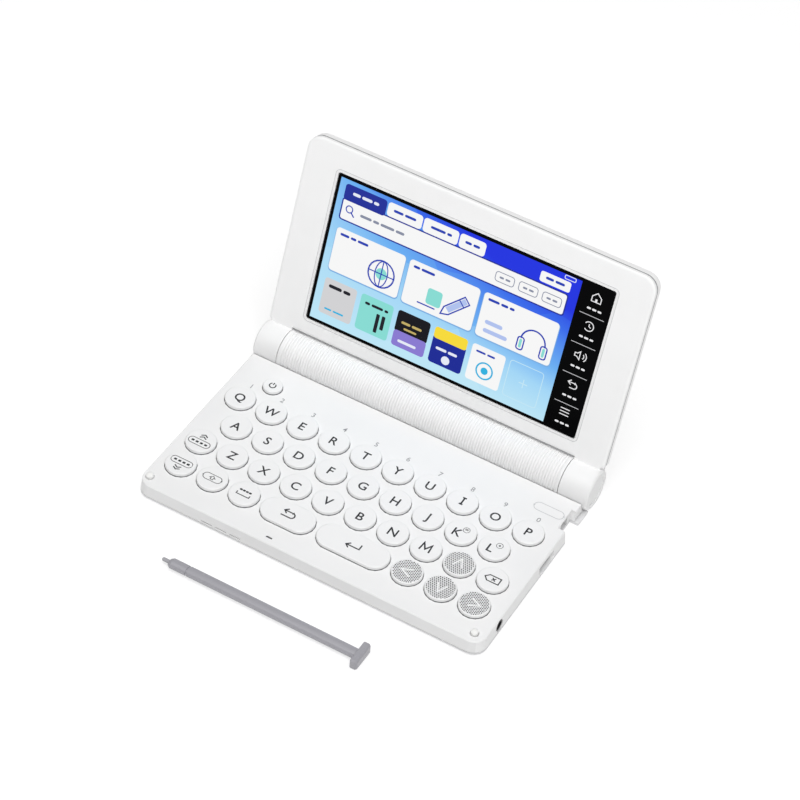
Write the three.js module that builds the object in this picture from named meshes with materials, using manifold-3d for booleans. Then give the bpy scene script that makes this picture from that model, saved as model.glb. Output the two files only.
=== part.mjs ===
// Folding electronic dictionary with a keyboard, a touch display and a battery barrel as its hinge.
// Millimetres. +X runs to the right along the barrel, +Y to the back, +Z up.
// The origin lies on the flat underside of the base, in the middle of the closed body.

import * as THREE from 'three';
import { mergeVertices } from 'three/addons/utils/BufferGeometryUtils.js';
import Module from 'manifold-3d';

const wasm = await Module();
wasm.setup();

// Driving sizes
const WIDTH = 158;
const DEPTH = 106.2;
const GAP = 0.3;
const LID_OPEN_DEG = 107.3;

// Heights: the barrel sets the closed lid, the lid clears the keys, and the keys stand above the deck
const BARREL_RADIUS = 9;
const BARREL_SINK = 0.5;
const AXIS_Z = BARREL_RADIUS - BARREL_SINK;
const LID_FACE = -0.8;
const LID_KEY_ROOM = 0.35;
const KEY_TOP = AXIS_Z - LID_FACE - LID_KEY_ROOM;
const KEY_RISE = 1.65;
const DECK_TOP = KEY_TOP - KEY_RISE;
const DECK_THICKNESS = 1.3;
const DECK_UNDERSIDE = DECK_TOP - DECK_THICKNESS;

// Base
const HALF_WIDTH = WIDTH / 2;
const FRONT = -DEPTH / 2;
const BASE_CORNER = 6;
const BASE_WALL = 1.6;
const FLOOR = 1.3;
const SEAM = FLOOR + GAP;
const CASE_TAPER = 0.55;
const EDGE_INSET = 0.95;
const EDGE_HEIGHT = 0.4;
const UNDER_EDGE = 0.5;
const REAR_LIP = 0.42;
const CAVITY_FROM_AXIS = 11;

// Hinge barrel
const AXIS_Y = DEPTH / 2 - BARREL_RADIUS;
const LID_END_LEFT = 11.7;
const LID_END_RIGHT = 13.4;
const BARREL_LEFT = LID_END_LEFT - HALF_WIDTH;
const BARREL_RIGHT = HALF_WIDTH - LID_END_RIGHT;
const BARREL_SIDES = 20;
const RIB_COUNT = 34;
const RIB_DEPTH = 0.22;
const RIB_MARGIN = 1.2;
const BARREL_WALL = 1.75;
const CELL_RADIUS = BARREL_RADIUS - BARREL_WALL;
const END_BLOCK = 15.8;
const CELL_LENGTH = (BARREL_RIGHT - BARREL_LEFT - 2 * END_BLOCK - GAP) / 2;
const CELL_NIPPLE_RADIUS = 2.7;
const CELL_NIPPLE = 1;
const CELL_SIDES = 16;
const CELL_BORE = CELL_RADIUS + GAP;
const CELLS_MIDDLE = (BARREL_LEFT + BARREL_RIGHT) / 2;
const COVER_FROM_DEG = -105;
const COVER_TO_DEG = 50;
const SPRING_ROOM = 1.5;
const COVER_END_MARGIN = 1;
const PIN_RADIUS = 2.4;
const PIN_HALF_LENGTH = 5.2;
const PIN_SIDES = 16;

// Lid, in its own plane: x across, y away from the barrel axis, z out of the screen side
const LID_SETBACK = 0.4;
const LID_LENGTH = AXIS_Y - FRONT - LID_SETBACK;
const LID_CORNER = 6.5;
const LID_FOOT_CORNER = 1.2;
const LID_SEAM = -2.85;
const LID_BACK = -7.95;
const LID_FOOT_ROOM = 0.6;
const LID_FOOT = BARREL_RADIUS + LID_FOOT_ROOM;
const LID_FRONT_EDGE = { reach: 1.5, height: 0.65 };
const LID_BACK_EDGE = { reach: 2.4, height: 1.9 };
const EDGE_STEPS = 3;
const LID_RIM = 2;
const LID_BACK_WALL = 1.25;
const END_SIDES = 28;
const END_EDGE = 0.7;
const END_RING = 2.4;
const END_RECESS = 0.4;
const NECK_INSET = 1.4;
const BEZEL = { left: 16.2, right: 15.2, low: 7.4, high: 11.3 };
const WINDOW = {
  left: BEZEL.left - HALF_WIDTH,
  right: HALF_WIDTH - BEZEL.right,
  low: LID_FOOT + BEZEL.low,
  high: LID_LENGTH - BEZEL.high,
};
const WINDOW_CORNER = 1;
const GLASS_THICKNESS = 0.8;
const GLASS_RECESS = 0.1;
const PANEL_INSET = 1;
const PANEL_THICKNESS = 2.3;

// Keys
const COLUMN_COUNT = 10;
const ROW_COUNT = 4;
const FIELD_LEFT = 10.7;
const FIELD_RIGHT = 12.3;
const FIELD_FRONT = 17.14;
const FIELD_REAR = 35.3;
const FIELD = {
  left: FIELD_LEFT - HALF_WIDTH,
  right: HALF_WIDTH - FIELD_RIGHT,
  front: FRONT + FIELD_FRONT,
  rear: AXIS_Y - FIELD_REAR,
};
const PITCH_X = (FIELD.right - FIELD.left) / (COLUMN_COUNT - 1);
const PITCH_Y = (FIELD.rear - FIELD.front) / (ROW_COUNT - 1);
const KEY_SPACING = 2.12;
const KEY_RADIUS = (Math.min(PITCH_X, PITCH_Y) - KEY_SPACING) / 2;
const KEY_EDGE = 0.35;
const KEY_DISH = 0.12;
const KEY_FLANGE = 0.5;
const KEY_FLANGE_THICKNESS = 0.7;
const KEY_SIDES = 16;
const POWER_RADIUS = 4.1;
const POWER_COLUMN = 0.5;
const POWER_SHARE = -0.2958;
const ROWS = [
  { row: 0, firstColumn: 0, names: ['q', 'w', 'e', 'r', 't', 'y', 'u', 'i', 'o', 'p'] },
  { row: 1, firstColumn: 0.5, names: ['a', 's', 'd', 'f', 'g', 'h', 'j', 'k', 'l'] },
  { row: 2, firstColumn: 0, names: ['page_up', 'z', 'x', 'c', 'v', 'b', 'n', 'm', 'up', 'delete'] },
  { row: 3, firstColumn: 0, names: ['page_down', 'shift', 'space'] },
  { row: 3, firstColumn: 7, names: ['left', 'down', 'right'] },
];
const PILL_COLUMNS = { before: 2, after: 7 };
const PILL_GAP = 2.1;
const BACK_SHARE = 0.43;

// Inside the base, stacked between the floor and the keys: board, key mat and key travel share the room
const FLANGE_TOP = DECK_UNDERSIDE - GAP;
const FLANGE_BOTTOM = FLANGE_TOP - KEY_FLANGE_THICKNESS;
const STACK_ROOM = FLANGE_BOTTOM - FLOOR - 3 * GAP;
const BOARD_SHARE = 0.36;
const MAT_SHARE = 0.28;
const BOARD_BOTTOM = FLOOR + GAP;
const BOARD_TOP = BOARD_BOTTOM + STACK_ROOM * BOARD_SHARE;
const MAT_BOTTOM = BOARD_TOP + GAP;
const MAT_TOP = MAT_BOTTOM + STACK_ROOM * MAT_SHARE;
const BOARD_CORNER = 3;
const BOARD_SIDE = 4.7;
const BOARD_FRONT_ROOM = 7.9;
const BOARD_REAR_ROOM = 6;

// Stylus and its bay along the back of the base
const STYLUS_WIDTH = 5;
const STYLUS_HEIGHT = 3.7;
const STYLUS_SIDES = 12;
const STYLUS_TIP_RADIUS = 0.85;
const STYLUS_TIP = 3.4;
const STYLUS_NOSE = 1.2;
const STYLUS_FRONT = 7;
const STYLUS_GROOVE = 0.8;
const STYLUS_GROOVE_DEPTH = 0.35;
const NOSE_SHARE = 0.7;
const POINT_SHARE = 0.6;
const STYLUS_BODY = 76;
const HEAD_WIDTH = 11.3;
const HEAD_HEIGHT = 4.9;
const HEAD_THICKNESS = 3.2;
const HEAD_EDGE = 0.7;
const STYLUS_X = -49.6;
const STYLUS_APART = 24.5;
const STYLUS_Y = FRONT - STYLUS_APART;
const BAY_FROM_AXIS = 19.8;
const BAY_HALF_WIDTH = STYLUS_WIDTH / 2 + GAP;
const BAY_Y = AXIS_Y - BAY_FROM_AXIS;
const BAY_RIB = 1.2;
const BAY_END_ROOM = 2.1;
const NOTCH_DEPTH = 4;
const NOTCH_DECK_CUT = 2;
const NOTCH_HALF_WIDTH = HEAD_WIDTH / 2 + GAP;
const NOTCH_INNER = HALF_WIDTH - NOTCH_DEPTH;
const NOTCH_FRONT = BAY_Y - NOTCH_HALF_WIDTH;
const NOTCH_REAR = BAY_Y + NOTCH_HALF_WIDTH;
const STYLUS_LENGTH = STYLUS_TIP + STYLUS_NOSE + STYLUS_FRONT + STYLUS_GROOVE + STYLUS_BODY;
const BAY_END = HALF_WIDTH - NOTCH_DEPTH - STYLUS_LENGTH - BAY_END_ROOM;

// Fittings on the base
const FOOT_HEIGHT = 0.6;
const FOOT_SEAT = 0.8;
const FOOT_WIDTH = 5;
const FOOT_SIDE = 19;
const FOOT_HALF_STRAIGHT = HALF_WIDTH - FOOT_SIDE - FOOT_WIDTH / 2;
const FOOT_FROM_FRONT = 10;
const FOOT_FROM_AXIS = 22;
const FOOT_Y = { foot_front: FRONT + FOOT_FROM_FRONT, foot_rear: AXIS_Y - FOOT_FROM_AXIS };
const BUMPER_RADIUS = 1.6;
const BUMPER_SEAT = 0.7;
const BUMPER_SLACK = 0.15;
const BUMPER_TOP = AXIS_Z - LID_FACE - BUMPER_SLACK;
const BUMPER_SIDE = { left: 3.8, right: 5.5 };
const BUMPER_FROM_FRONT = 5.2;
const BUMPER_X = { left: BUMPER_SIDE.left - HALF_WIDTH, right: HALF_WIDTH - BUMPER_SIDE.right };
const BUMPER_Y = FRONT + BUMPER_FROM_FRONT;
const BUMPER_SIDES = 12;
const LAMP_SHARE = 0.3704;
const LAMP = { fromFront: 3.7, length: 2.8, width: 0.8, depth: 0.7 };
const SPEAKER_SHARE = 0.2204;
const SPEAKER = { halfLength: 10.2, depth: 5.2, corner: 1.6 };
const SLOT_STEPS = [-1, 0, 1];
const SLOT_PITCH = 6.55;
const SLOT_LENGTH = 5.4;

// Openings in the walls of the base: heights are shares of the wall, places are shares of the key field
const WALL_HEIGHT = DECK_TOP - FLOOR;
const SLOT_SHARES = { middle: 0.2, height: 0.117 };
const SOCKET_SHARES = { along: 0.143, middle: 0.4, height: 0.55, recess: 0.65 };
const SOCKET = { width: 9.2, recessWidth: 12.4, depth: 2.7, sink: 1.4, mouth: 2, wall: 0.4 };
const SOCKET_OUTER = HALF_WIDTH - SOCKET.sink;
const JACK_SHARES = { along: 1.0143, middle: 0.467, radius: 0.41, bore: 0.3 };
const JACK = { length: 3.55, floor: 0.15 };
const JACK_SIDES = 16;
const JACK_FACE = HALF_WIDTH - CASE_TAPER;
const JACK_INNER = JACK_FACE - JACK.length;

const OVERSHOOT = 1;
const CORNER_STEPS = 5;
const SECTOR_STEPS = 4;
const LEAST_RADIUS = 0.05;
const MERGE_TOLERANCE = 1e-4;
const TINY = 1e-6;

const MATERIALS = {
  white: { color: 0xeeeeee, roughness: 0.55, metalness: 0 },
  keyWhite: { color: 0xf4f4f4, roughness: 0.45, metalness: 0 },
  arrowGrey: { color: 0xb4b4b6, roughness: 0.5, metalness: 0 },
  glassBlack: { color: 0x101216, roughness: 0.08, metalness: 0 },
  panelBlue: { color: 0x5f9bff, roughness: 0.4, metalness: 0 },
  stylusGrey: { color: 0x97969b, roughness: 0.45, metalness: 0 },
  rubber: { color: 0xdadada, roughness: 0.8, metalness: 0 },
  board: { color: 0x1f5a3c, roughness: 0.6, metalness: 0 },
  steel: { color: 0xb8bcc0, roughness: 0.3, metalness: 1 },
  black: { color: 0x18181a, roughness: 0.5, metalness: 0 },
  cell: { color: 0x8a8d92, roughness: 0.35, metalness: 0.6 },
};

// A closed geometry that holds positions only, with shared vertices and its faces pointing out
function closed(source) {
  const bare = source.clone();
  for (const name of Object.keys(bare.attributes)) {
    if (name !== 'position') bare.deleteAttribute(name);
  }
  const merged = mergeVertices(bare, MERGE_TOLERANCE);
  const position = merged.attributes.position;
  const index = merged.index.array;
  const kept = [];
  let volume = 0;
  const a = new THREE.Vector3();
  const b = new THREE.Vector3();
  const c = new THREE.Vector3();
  for (let i = 0; i < index.length; i += 3) {
    const [p, q, r] = [index[i], index[i + 1], index[i + 2]];
    if (p === q || q === r || r === p) continue;
    kept.push(p, q, r);
    a.fromBufferAttribute(position, p);
    b.fromBufferAttribute(position, q);
    c.fromBufferAttribute(position, r);
    volume += a.dot(b.cross(c));
  }
  if (volume < 0) kept.reverse();
  const result = new THREE.BufferGeometry();
  result.setAttribute('position', position);
  result.setIndex(kept);
  return result;
}

function solid(source) {
  const geometry = closed(source);
  return new wasm.Manifold(new wasm.Mesh({
    numProp: 3,
    vertProperties: new Float32Array(geometry.attributes.position.array),
    triVerts: new Uint32Array(geometry.index.array),
  }));
}

function geometryOf(body) {
  const mesh = body.getMesh();
  const geometry = new THREE.BufferGeometry();
  geometry.setAttribute('position', new THREE.BufferAttribute(new Float32Array(mesh.vertProperties), 3));
  geometry.setIndex(new THREE.BufferAttribute(new Uint32Array(mesh.triVerts), 1));
  return geometry;
}

function subtractAll(body, cutters) {
  return cutters.reduce((rest, cutter) => rest.subtract(cutter), body);
}

function addMesh(parent, name, geometry, look) {
  const material = new THREE.MeshStandardMaterial({ ...MATERIALS[look], flatShading: true });
  const mesh = new THREE.Mesh(geometry, material);
  mesh.name = name;
  parent.add(mesh);
  return mesh;
}

function box(x0, x1, y0, y1, z0, z1) {
  const geometry = new THREE.BoxGeometry(x1 - x0, y1 - y0, z1 - z0);
  geometry.translate((x0 + x1) / 2, (y0 + y1) / 2, (z0 + z1) / 2);
  return solid(geometry);
}

// Turned about Z from a list of [radius, height]. A half straight stretches the round into a pill along X.
function turned(profile, sides, halfStraight = 0) {
  const points = profile.map(([radius, height]) => new THREE.Vector2(radius, height));
  const geometry = new THREE.LatheGeometry(points, sides, Math.PI / sides);
  geometry.rotateX(Math.PI / 2);
  const position = geometry.attributes.position;
  for (let i = 0; i < position.count; i += 1) {
    const x = position.getX(i);
    if (Math.abs(x) > TINY) position.setX(i, x + Math.sign(x) * halfStraight);
  }
  return closed(geometry);
}

function post(radius, z0, z1, sides, halfStraight = 0) {
  return turned([[0, z0], [radius, z0], [radius, z1], [0, z1]], sides, halfStraight);
}

// Turned about a line parallel to X through (y, z)
function turnedAlongX(profile, sides, y, z) {
  return turned(profile, sides).rotateY(Math.PI / 2).translate(0, y, z);
}

function rodAlongX(radius, x0, x1, sides, y, z) {
  return turnedAlongX([[0, x0], [radius, x0], [radius, x1], [0, x1]], sides, y, z);
}

// Points round a rectangle, drawn in by an inset, with its own corner radius at each end in Y
function roundedOutline(area, inset, lowCorner, highCorner) {
  const corners = [
    { x: area.right, y: area.low, radius: lowCorner, start: -0.5, sx: -1, sy: 1 },
    { x: area.right, y: area.high, radius: highCorner, start: 0, sx: -1, sy: -1 },
    { x: area.left, y: area.high, radius: highCorner, start: 0.5, sx: 1, sy: -1 },
    { x: area.left, y: area.low, radius: lowCorner, start: 1, sx: 1, sy: 1 },
  ];
  const points = [];
  for (const corner of corners) {
    const cx = corner.x + corner.sx * corner.radius;
    const cy = corner.y + corner.sy * corner.radius;
    const reach = corner.radius - inset;
    const radius = Math.max(reach, LEAST_RADIUS);
    const shift = radius - reach;
    for (let step = 0; step <= CORNER_STEPS; step += 1) {
      const angle = (corner.start + (0.5 * step) / CORNER_STEPS) * Math.PI;
      points.push(new THREE.Vector2(
        cx + corner.sx * shift + radius * Math.cos(angle),
        cy + corner.sy * shift + radius * Math.sin(angle),
      ));
    }
  }
  return points;
}

// A closed body through outlines of equal point counts, each with its height
function loft(levels) {
  const count = levels[0].outline.length;
  const positions = levels.flatMap(({ outline, z }) => outline.flatMap((p) => [p.x, p.y, z]));
  const index = [];
  for (let level = 0; level + 1 < levels.length; level += 1) {
    for (let i = 0; i < count; i += 1) {
      const next = (i + 1) % count;
      const low = level * count;
      const high = low + count;
      index.push(low + i, low + next, high + next, low + i, high + next, high + i);
    }
  }
  const top = (levels.length - 1) * count;
  for (const [p, q, r] of THREE.ShapeUtils.triangulateShape(levels[0].outline, [])) {
    index.push(r, q, p);
  }
  for (const [p, q, r] of THREE.ShapeUtils.triangulateShape(levels.at(-1).outline, [])) {
    index.push(top + p, top + q, top + r);
  }
  const geometry = new THREE.BufferGeometry();
  geometry.setAttribute('position', new THREE.Float32BufferAttribute(positions, 3));
  geometry.setIndex(index);
  return closed(geometry);
}

// A rounded slab: each level is [height, inset]
function slab(area, lowCorner, highCorner, levels) {
  const outlineAt = (inset) => roundedOutline(area, inset, lowCorner, highCorner);
  return loft(levels.map(([z, inset]) => ({ z, outline: outlineAt(inset) })));
}

// Levels of a rounded edge that ends on a flat face; the side tells which way the body lies from the face
function edgeLevels(face, { reach, height }, side) {
  return Array.from({ length: EDGE_STEPS + 1 }, (_, step) => {
    const angle = ((step / EDGE_STEPS) * Math.PI) / 2;
    return [face + side * height * (1 - Math.sin(angle)), reach * (1 - Math.cos(angle))];
  });
}

const BASE_AREA = {
  left: -HALF_WIDTH,
  right: HALF_WIDTH,
  low: FRONT,
  high: AXIS_Y - Math.sqrt((BARREL_RADIUS + GAP) ** 2 - (AXIS_Z - REAR_LIP) ** 2),
};
const CAVITY = {
  left: -HALF_WIDTH + BASE_WALL,
  right: HALF_WIDTH - BASE_WALL,
  low: FRONT + BASE_WALL,
  high: AXIS_Y - CAVITY_FROM_AXIS,
};

function fieldX(share) {
  return FIELD.left + (FIELD.right - FIELD.left) * share;
}

function fieldY(share) {
  return FIELD.rear - (FIELD.rear - FIELD.front) * share;
}

function columnX(column) {
  return fieldX(column / (COLUMN_COUNT - 1));
}

function rowY(row) {
  return fieldY(row / (ROW_COUNT - 1));
}

function allKeys() {
  const keys = ROWS.flatMap(({ row, firstColumn, names }) => names.map((name, i) => ({
    name,
    x: columnX(firstColumn + i),
    y: rowY(row),
    radius: KEY_RADIUS,
    halfStraight: 0,
  })));
  const pillsLeft = columnX(PILL_COLUMNS.before) + KEY_RADIUS + PILL_GAP;
  const pillsRight = columnX(PILL_COLUMNS.after) - KEY_RADIUS - PILL_GAP;
  const seamX = pillsLeft + (pillsRight - pillsLeft) * BACK_SHARE;
  const pills = [['back', pillsLeft, seamX - PILL_GAP / 2], ['enter', seamX + PILL_GAP / 2, pillsRight]];
  for (const [name, left, right] of pills) {
    keys.push({
      name,
      x: (left + right) / 2,
      y: FIELD.front,
      radius: KEY_RADIUS,
      halfStraight: (right - left) / 2 - KEY_RADIUS,
    });
  }
  keys.push({
    name: 'power',
    x: columnX(POWER_COLUMN),
    y: fieldY(POWER_SHARE),
    radius: POWER_RADIUS,
    halfStraight: 0,
  });
  return keys;
}

// One key cap: a raised dished button with a flared foot that the deck holds down from inside
function keyCap({ radius, halfStraight }) {
  return turned([
    [0, FLANGE_BOTTOM],
    [radius + KEY_FLANGE, FLANGE_BOTTOM],
    [radius, FLANGE_TOP],
    [radius, KEY_TOP - KEY_EDGE],
    [radius - KEY_EDGE, KEY_TOP],
    [0, KEY_TOP - KEY_DISH],
  ], KEY_SIDES, halfStraight);
}

function barrelClearance() {
  return solid(rodAlongX(
    BARREL_RADIUS + GAP, -HALF_WIDTH - OVERSHOOT, HALF_WIDTH + OVERSHOOT, END_SIDES, AXIS_Y, AXIS_Z,
  ));
}

function lampSlot() {
  const x = fieldX(LAMP_SHARE);
  const y = FRONT + LAMP.fromFront;
  return box(
    x - LAMP.length / 2, x + LAMP.length / 2,
    y - LAMP.width / 2, y + LAMP.width / 2,
    DECK_TOP - LAMP.depth, DECK_TOP + OVERSHOOT,
  );
}

function socketPlace() {
  return {
    y: fieldY(SOCKET_SHARES.along),
    z: FLOOR + WALL_HEIGHT * SOCKET_SHARES.middle,
    height: WALL_HEIGHT * SOCKET_SHARES.height,
    recessHeight: WALL_HEIGHT * SOCKET_SHARES.recess,
  };
}

function jackPlace() {
  return {
    y: fieldY(JACK_SHARES.along),
    z: FLOOR + WALL_HEIGHT * JACK_SHARES.middle,
    radius: WALL_HEIGHT * JACK_SHARES.radius,
    bore: WALL_HEIGHT * JACK_SHARES.bore,
  };
}

// The shallow recess round the socket and the hole behind it that the socket sits in
function socketOpenings() {
  const { y, z, height, recessHeight } = socketPlace();
  const opening = (inner, halfWidth, halfHeight) => box(
    inner, HALF_WIDTH + OVERSHOOT, y - halfWidth, y + halfWidth, z - halfHeight, z + halfHeight,
  );
  return [
    opening(SOCKET_OUTER + GAP, SOCKET.recessWidth / 2, recessHeight / 2),
    opening(SOCKET_OUTER - SOCKET.depth, SOCKET.width / 2 + GAP, height / 2 + GAP),
  ];
}

// The moulded deck: top plate with a hole for each key, tapered walls, and the cut-outs round its edge
function deckCase() {
  const shell = solid(slab(BASE_AREA, BASE_CORNER, LID_FOOT_CORNER, [
    [SEAM, 0],
    [DECK_TOP - EDGE_HEIGHT, CASE_TAPER],
    [DECK_TOP, EDGE_INSET],
  ]));
  const above = DECK_TOP + OVERSHOOT;
  const notchWalls = box(
    NOTCH_INNER - BASE_WALL, HALF_WIDTH, NOTCH_FRONT - BASE_WALL, AXIS_Y, SEAM - 2 * OVERSHOOT, above,
  );
  const cavity = solid(slab(CAVITY, BASE_CORNER - BASE_WALL, LID_FOOT_CORNER, [
    [SEAM - OVERSHOOT, 0],
    [DECK_UNDERSIDE, CASE_TAPER],
  ])).subtract(notchWalls);
  const keyHoles = allKeys().map(({ x, y, radius, halfStraight }) => solid(
    post(radius + GAP, DECK_UNDERSIDE - OVERSHOOT, above, KEY_SIDES, halfStraight).translate(x, y, 0),
  ));
  const bumperSeats = Object.values(BUMPER_X).map((x) => solid(
    post(BUMPER_RADIUS + GAP, DECK_TOP - BUMPER_SEAT, above, BUMPER_SIDES).translate(x, BUMPER_Y, 0),
  ));
  const slotZ = FLOOR + WALL_HEIGHT * SLOT_SHARES.middle;
  const slotHalfHeight = (WALL_HEIGHT * SLOT_SHARES.height) / 2;
  const speakerSlots = SLOT_STEPS.map((step) => fieldX(SPEAKER_SHARE) + step * SLOT_PITCH).map((x) => box(
    x - SLOT_LENGTH / 2, x + SLOT_LENGTH / 2,
    FRONT - OVERSHOOT, FRONT + BASE_WALL + OVERSHOOT,
    slotZ - slotHalfHeight, slotZ + slotHalfHeight,
  ));
  const jack = jackPlace();
  return subtractAll(shell, [
    cavity,
    barrelClearance(),
    ...keyHoles,
    ...bumperSeats,
    ...speakerSlots,
    box(NOTCH_INNER, HALF_WIDTH + OVERSHOOT, NOTCH_FRONT, NOTCH_REAR, SEAM - OVERSHOOT, above),
    box(HALF_WIDTH - NOTCH_DECK_CUT, HALF_WIDTH + OVERSHOOT, NOTCH_FRONT, AXIS_Y, SEAM - OVERSHOOT, above),
    box(
      NOTCH_INNER - BASE_WALL - OVERSHOOT, NOTCH_INNER + OVERSHOOT,
      BAY_Y - BAY_HALF_WIDTH, BAY_Y + BAY_HALF_WIDTH, SEAM - OVERSHOOT, DECK_UNDERSIDE,
    ),
    lampSlot(),
    ...socketOpenings(),
    solid(rodAlongX(jack.radius + GAP, JACK_INNER - GAP, HALF_WIDTH + OVERSHOOT, JACK_SIDES, jack.y, jack.z)),
  ]);
}

// The floor of the base, with the ribs that guide the stylus and the seats of the feet
function lowerCase() {
  const floor = solid(slab(BASE_AREA, BASE_CORNER, LID_FOOT_CORNER, [
    [0, UNDER_EDGE],
    [UNDER_EDGE, 0],
    [FLOOR, 0],
  ]));
  const bay = { left: BAY_END, right: NOTCH_INNER, low: BAY_Y - BAY_HALF_WIDTH, high: BAY_Y + BAY_HALF_WIDTH };
  const sunk = FLOOR / 2;
  const ribs = box(
    bay.left - BAY_RIB, bay.right - BASE_WALL - GAP, bay.low - BAY_RIB, bay.high + BAY_RIB, sunk, FLANGE_TOP,
  ).subtract(box(bay.left, bay.right, bay.low, bay.high, FLOOR, FLANGE_TOP + OVERSHOOT));
  const notch = box(NOTCH_INNER, HALF_WIDTH + OVERSHOOT, NOTCH_FRONT, NOTCH_REAR, -OVERSHOOT, FLOOR + OVERSHOOT);
  const footSeat = post(FOOT_WIDTH / 2 + GAP, -OVERSHOOT, FOOT_SEAT, KEY_SIDES, FOOT_HALF_STRAIGHT);
  const seats = Object.values(FOOT_Y).map((y) => solid(footSeat.clone().translate(0, y, 0)));
  return subtractAll(floor.add(ribs), [barrelClearance(), notch, ...seats]);
}

// The round outside of the barrel, ringed with fine ribs between two plain ends
function ribbedProfile(left, right) {
  const pitch = (right - left - 2 * RIB_MARGIN) / RIB_COUNT;
  const profile = [[0, left], [BARREL_RADIUS, left], [BARREL_RADIUS, left + RIB_MARGIN]];
  for (let rib = 0; rib < RIB_COUNT; rib += 1) {
    const start = left + RIB_MARGIN + rib * pitch;
    profile.push([BARREL_RADIUS - RIB_DEPTH, start + pitch / 2], [BARREL_RADIUS, start + pitch]);
  }
  profile.push([BARREL_RADIUS, right], [0, right]);
  return profile;
}

// A wedge of the barrel between two angles, measured from straight back (+Y) towards up (+Z)
function barrelSector(fromDeg, toDeg, x0, x1) {
  const reach = 2 * BARREL_RADIUS;
  const shape = new THREE.Shape();
  shape.moveTo(0, 0);
  for (let step = 0; step <= SECTOR_STEPS; step += 1) {
    const angle = THREE.MathUtils.degToRad(fromDeg + ((toDeg - fromDeg) * step) / SECTOR_STEPS);
    shape.lineTo(reach * Math.cos(angle), reach * Math.sin(angle));
  }
  shape.closePath();
  const geometry = new THREE.ExtrudeGeometry(shape, { depth: x1 - x0, bevelEnabled: false });
  const toAxes = new THREE.Matrix4().makeBasis(
    new THREE.Vector3(0, 1, 0), new THREE.Vector3(0, 0, 1), new THREE.Vector3(1, 0, 0),
  );
  geometry.applyMatrix4(toAxes);
  return solid(geometry.translate(x0, AXIS_Y, AXIS_Z));
}

const CELLS_HALF = CELL_LENGTH + GAP / 2;
const COVER_X0 = CELLS_MIDDLE - CELLS_HALF - COVER_END_MARGIN;
const COVER_X1 = CELLS_MIDDLE + CELLS_HALF + COVER_END_MARGIN;

function ribbedBarrel() {
  return solid(turnedAlongX(ribbedProfile(BARREL_LEFT, BARREL_RIGHT), BARREL_SIDES, AXIS_Y, AXIS_Z));
}

function hingeBarrel() {
  const boreHalf = CELLS_HALF + SPRING_ROOM;
  const bore = solid(rodAlongX(
    CELL_BORE, CELLS_MIDDLE - boreHalf, CELLS_MIDDLE + boreHalf, CELL_SIDES, AXIS_Y, AXIS_Z,
  ));
  const window = barrelSector(COVER_FROM_DEG, COVER_TO_DEG, COVER_X0, COVER_X1);
  const pinHoles = [BARREL_LEFT, BARREL_RIGHT].map((x) => solid(rodAlongX(
    PIN_RADIUS + GAP, x - PIN_HALF_LENGTH - GAP, x + PIN_HALF_LENGTH + GAP, PIN_SIDES, AXIS_Y, AXIS_Z,
  )));
  return subtractAll(ribbedBarrel(), [bore, window, ...pinHoles]);
}

function batteryCover() {
  const inner = solid(rodAlongX(
    CELL_BORE + GAP, BARREL_LEFT, BARREL_RIGHT, CELL_SIDES, AXIS_Y, AXIS_Z,
  ));
  const angleGap = THREE.MathUtils.radToDeg(GAP / CELL_BORE);
  const window = barrelSector(
    COVER_FROM_DEG + angleGap, COVER_TO_DEG - angleGap, COVER_X0 + GAP, COVER_X1 - GAP,
  );
  return ribbedBarrel().subtract(inner).intersect(window);
}

// A cell from its flat end at x0, with its nipple towards +X
function cell(x0) {
  return turnedAlongX([
    [0, x0],
    [CELL_RADIUS, x0],
    [CELL_RADIUS, x0 + CELL_LENGTH - CELL_NIPPLE],
    [CELL_NIPPLE_RADIUS, x0 + CELL_LENGTH - CELL_NIPPLE],
    [CELL_NIPPLE_RADIUS, x0 + CELL_LENGTH],
    [0, x0 + CELL_LENGTH],
  ], CELL_SIDES, AXIS_Y, AXIS_Z);
}

function hingePin(x) {
  return rodAlongX(PIN_RADIUS, x - PIN_HALF_LENGTH, x + PIN_HALF_LENGTH, PIN_SIDES, AXIS_Y, AXIS_Z);
}

const LID_AREA = { left: -HALF_WIDTH, right: HALF_WIDTH, low: LID_FOOT, high: LID_LENGTH };

// The round end of the barrel that turns with the lid: side is -1 at the left and 1 at the right
function lidEnd(side) {
  const seam = side < 0 ? BARREL_LEFT - GAP : BARREL_RIGHT + GAP;
  const end = side * HALF_WIDTH;
  const edge = end - side * END_EDGE;
  const round = solid(turnedAlongX([
    [0, seam],
    [BARREL_RADIUS, seam],
    [BARREL_RADIUS, edge],
    [BARREL_RADIUS - END_EDGE, end],
    [BARREL_RADIUS - END_RING, end],
    [BARREL_RADIUS - END_RING, end - side * END_RECESS],
    [0, end - side * END_RECESS],
  ], END_SIDES, 0, 0));
  const outer = end - side * NECK_INSET;
  const neck = box(Math.min(seam, outer), Math.max(seam, outer), 0, LID_FOOT - GAP, LID_BACK + GAP, LID_FACE);
  const step = box(Math.min(seam, outer), Math.max(seam, outer), 0, LID_FOOT + LID_RIM, LID_SEAM, LID_FACE);
  return round.add(neck).add(step);
}

function lidFrontBezel() {
  const plate = solid(slab(LID_AREA, LID_FOOT_CORNER, LID_CORNER, [
    [LID_SEAM, 0],
    ...edgeLevels(LID_FACE, LID_FRONT_EDGE, -1),
  ]));
  const window = solid(slab(WINDOW, WINDOW_CORNER, WINDOW_CORNER, [
    [LID_SEAM - OVERSHOOT, 0],
    [LID_FACE + OVERSHOOT, 0],
  ]));
  const pinBores = [BARREL_LEFT, BARREL_RIGHT].map((x) => solid(rodAlongX(
    PIN_RADIUS + GAP, x - PIN_HALF_LENGTH - GAP, x + PIN_HALF_LENGTH + GAP, PIN_SIDES, 0, 0,
  )));
  return subtractAll(plate.add(lidEnd(-1)).add(lidEnd(1)), [window, ...pinBores]);
}

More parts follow.
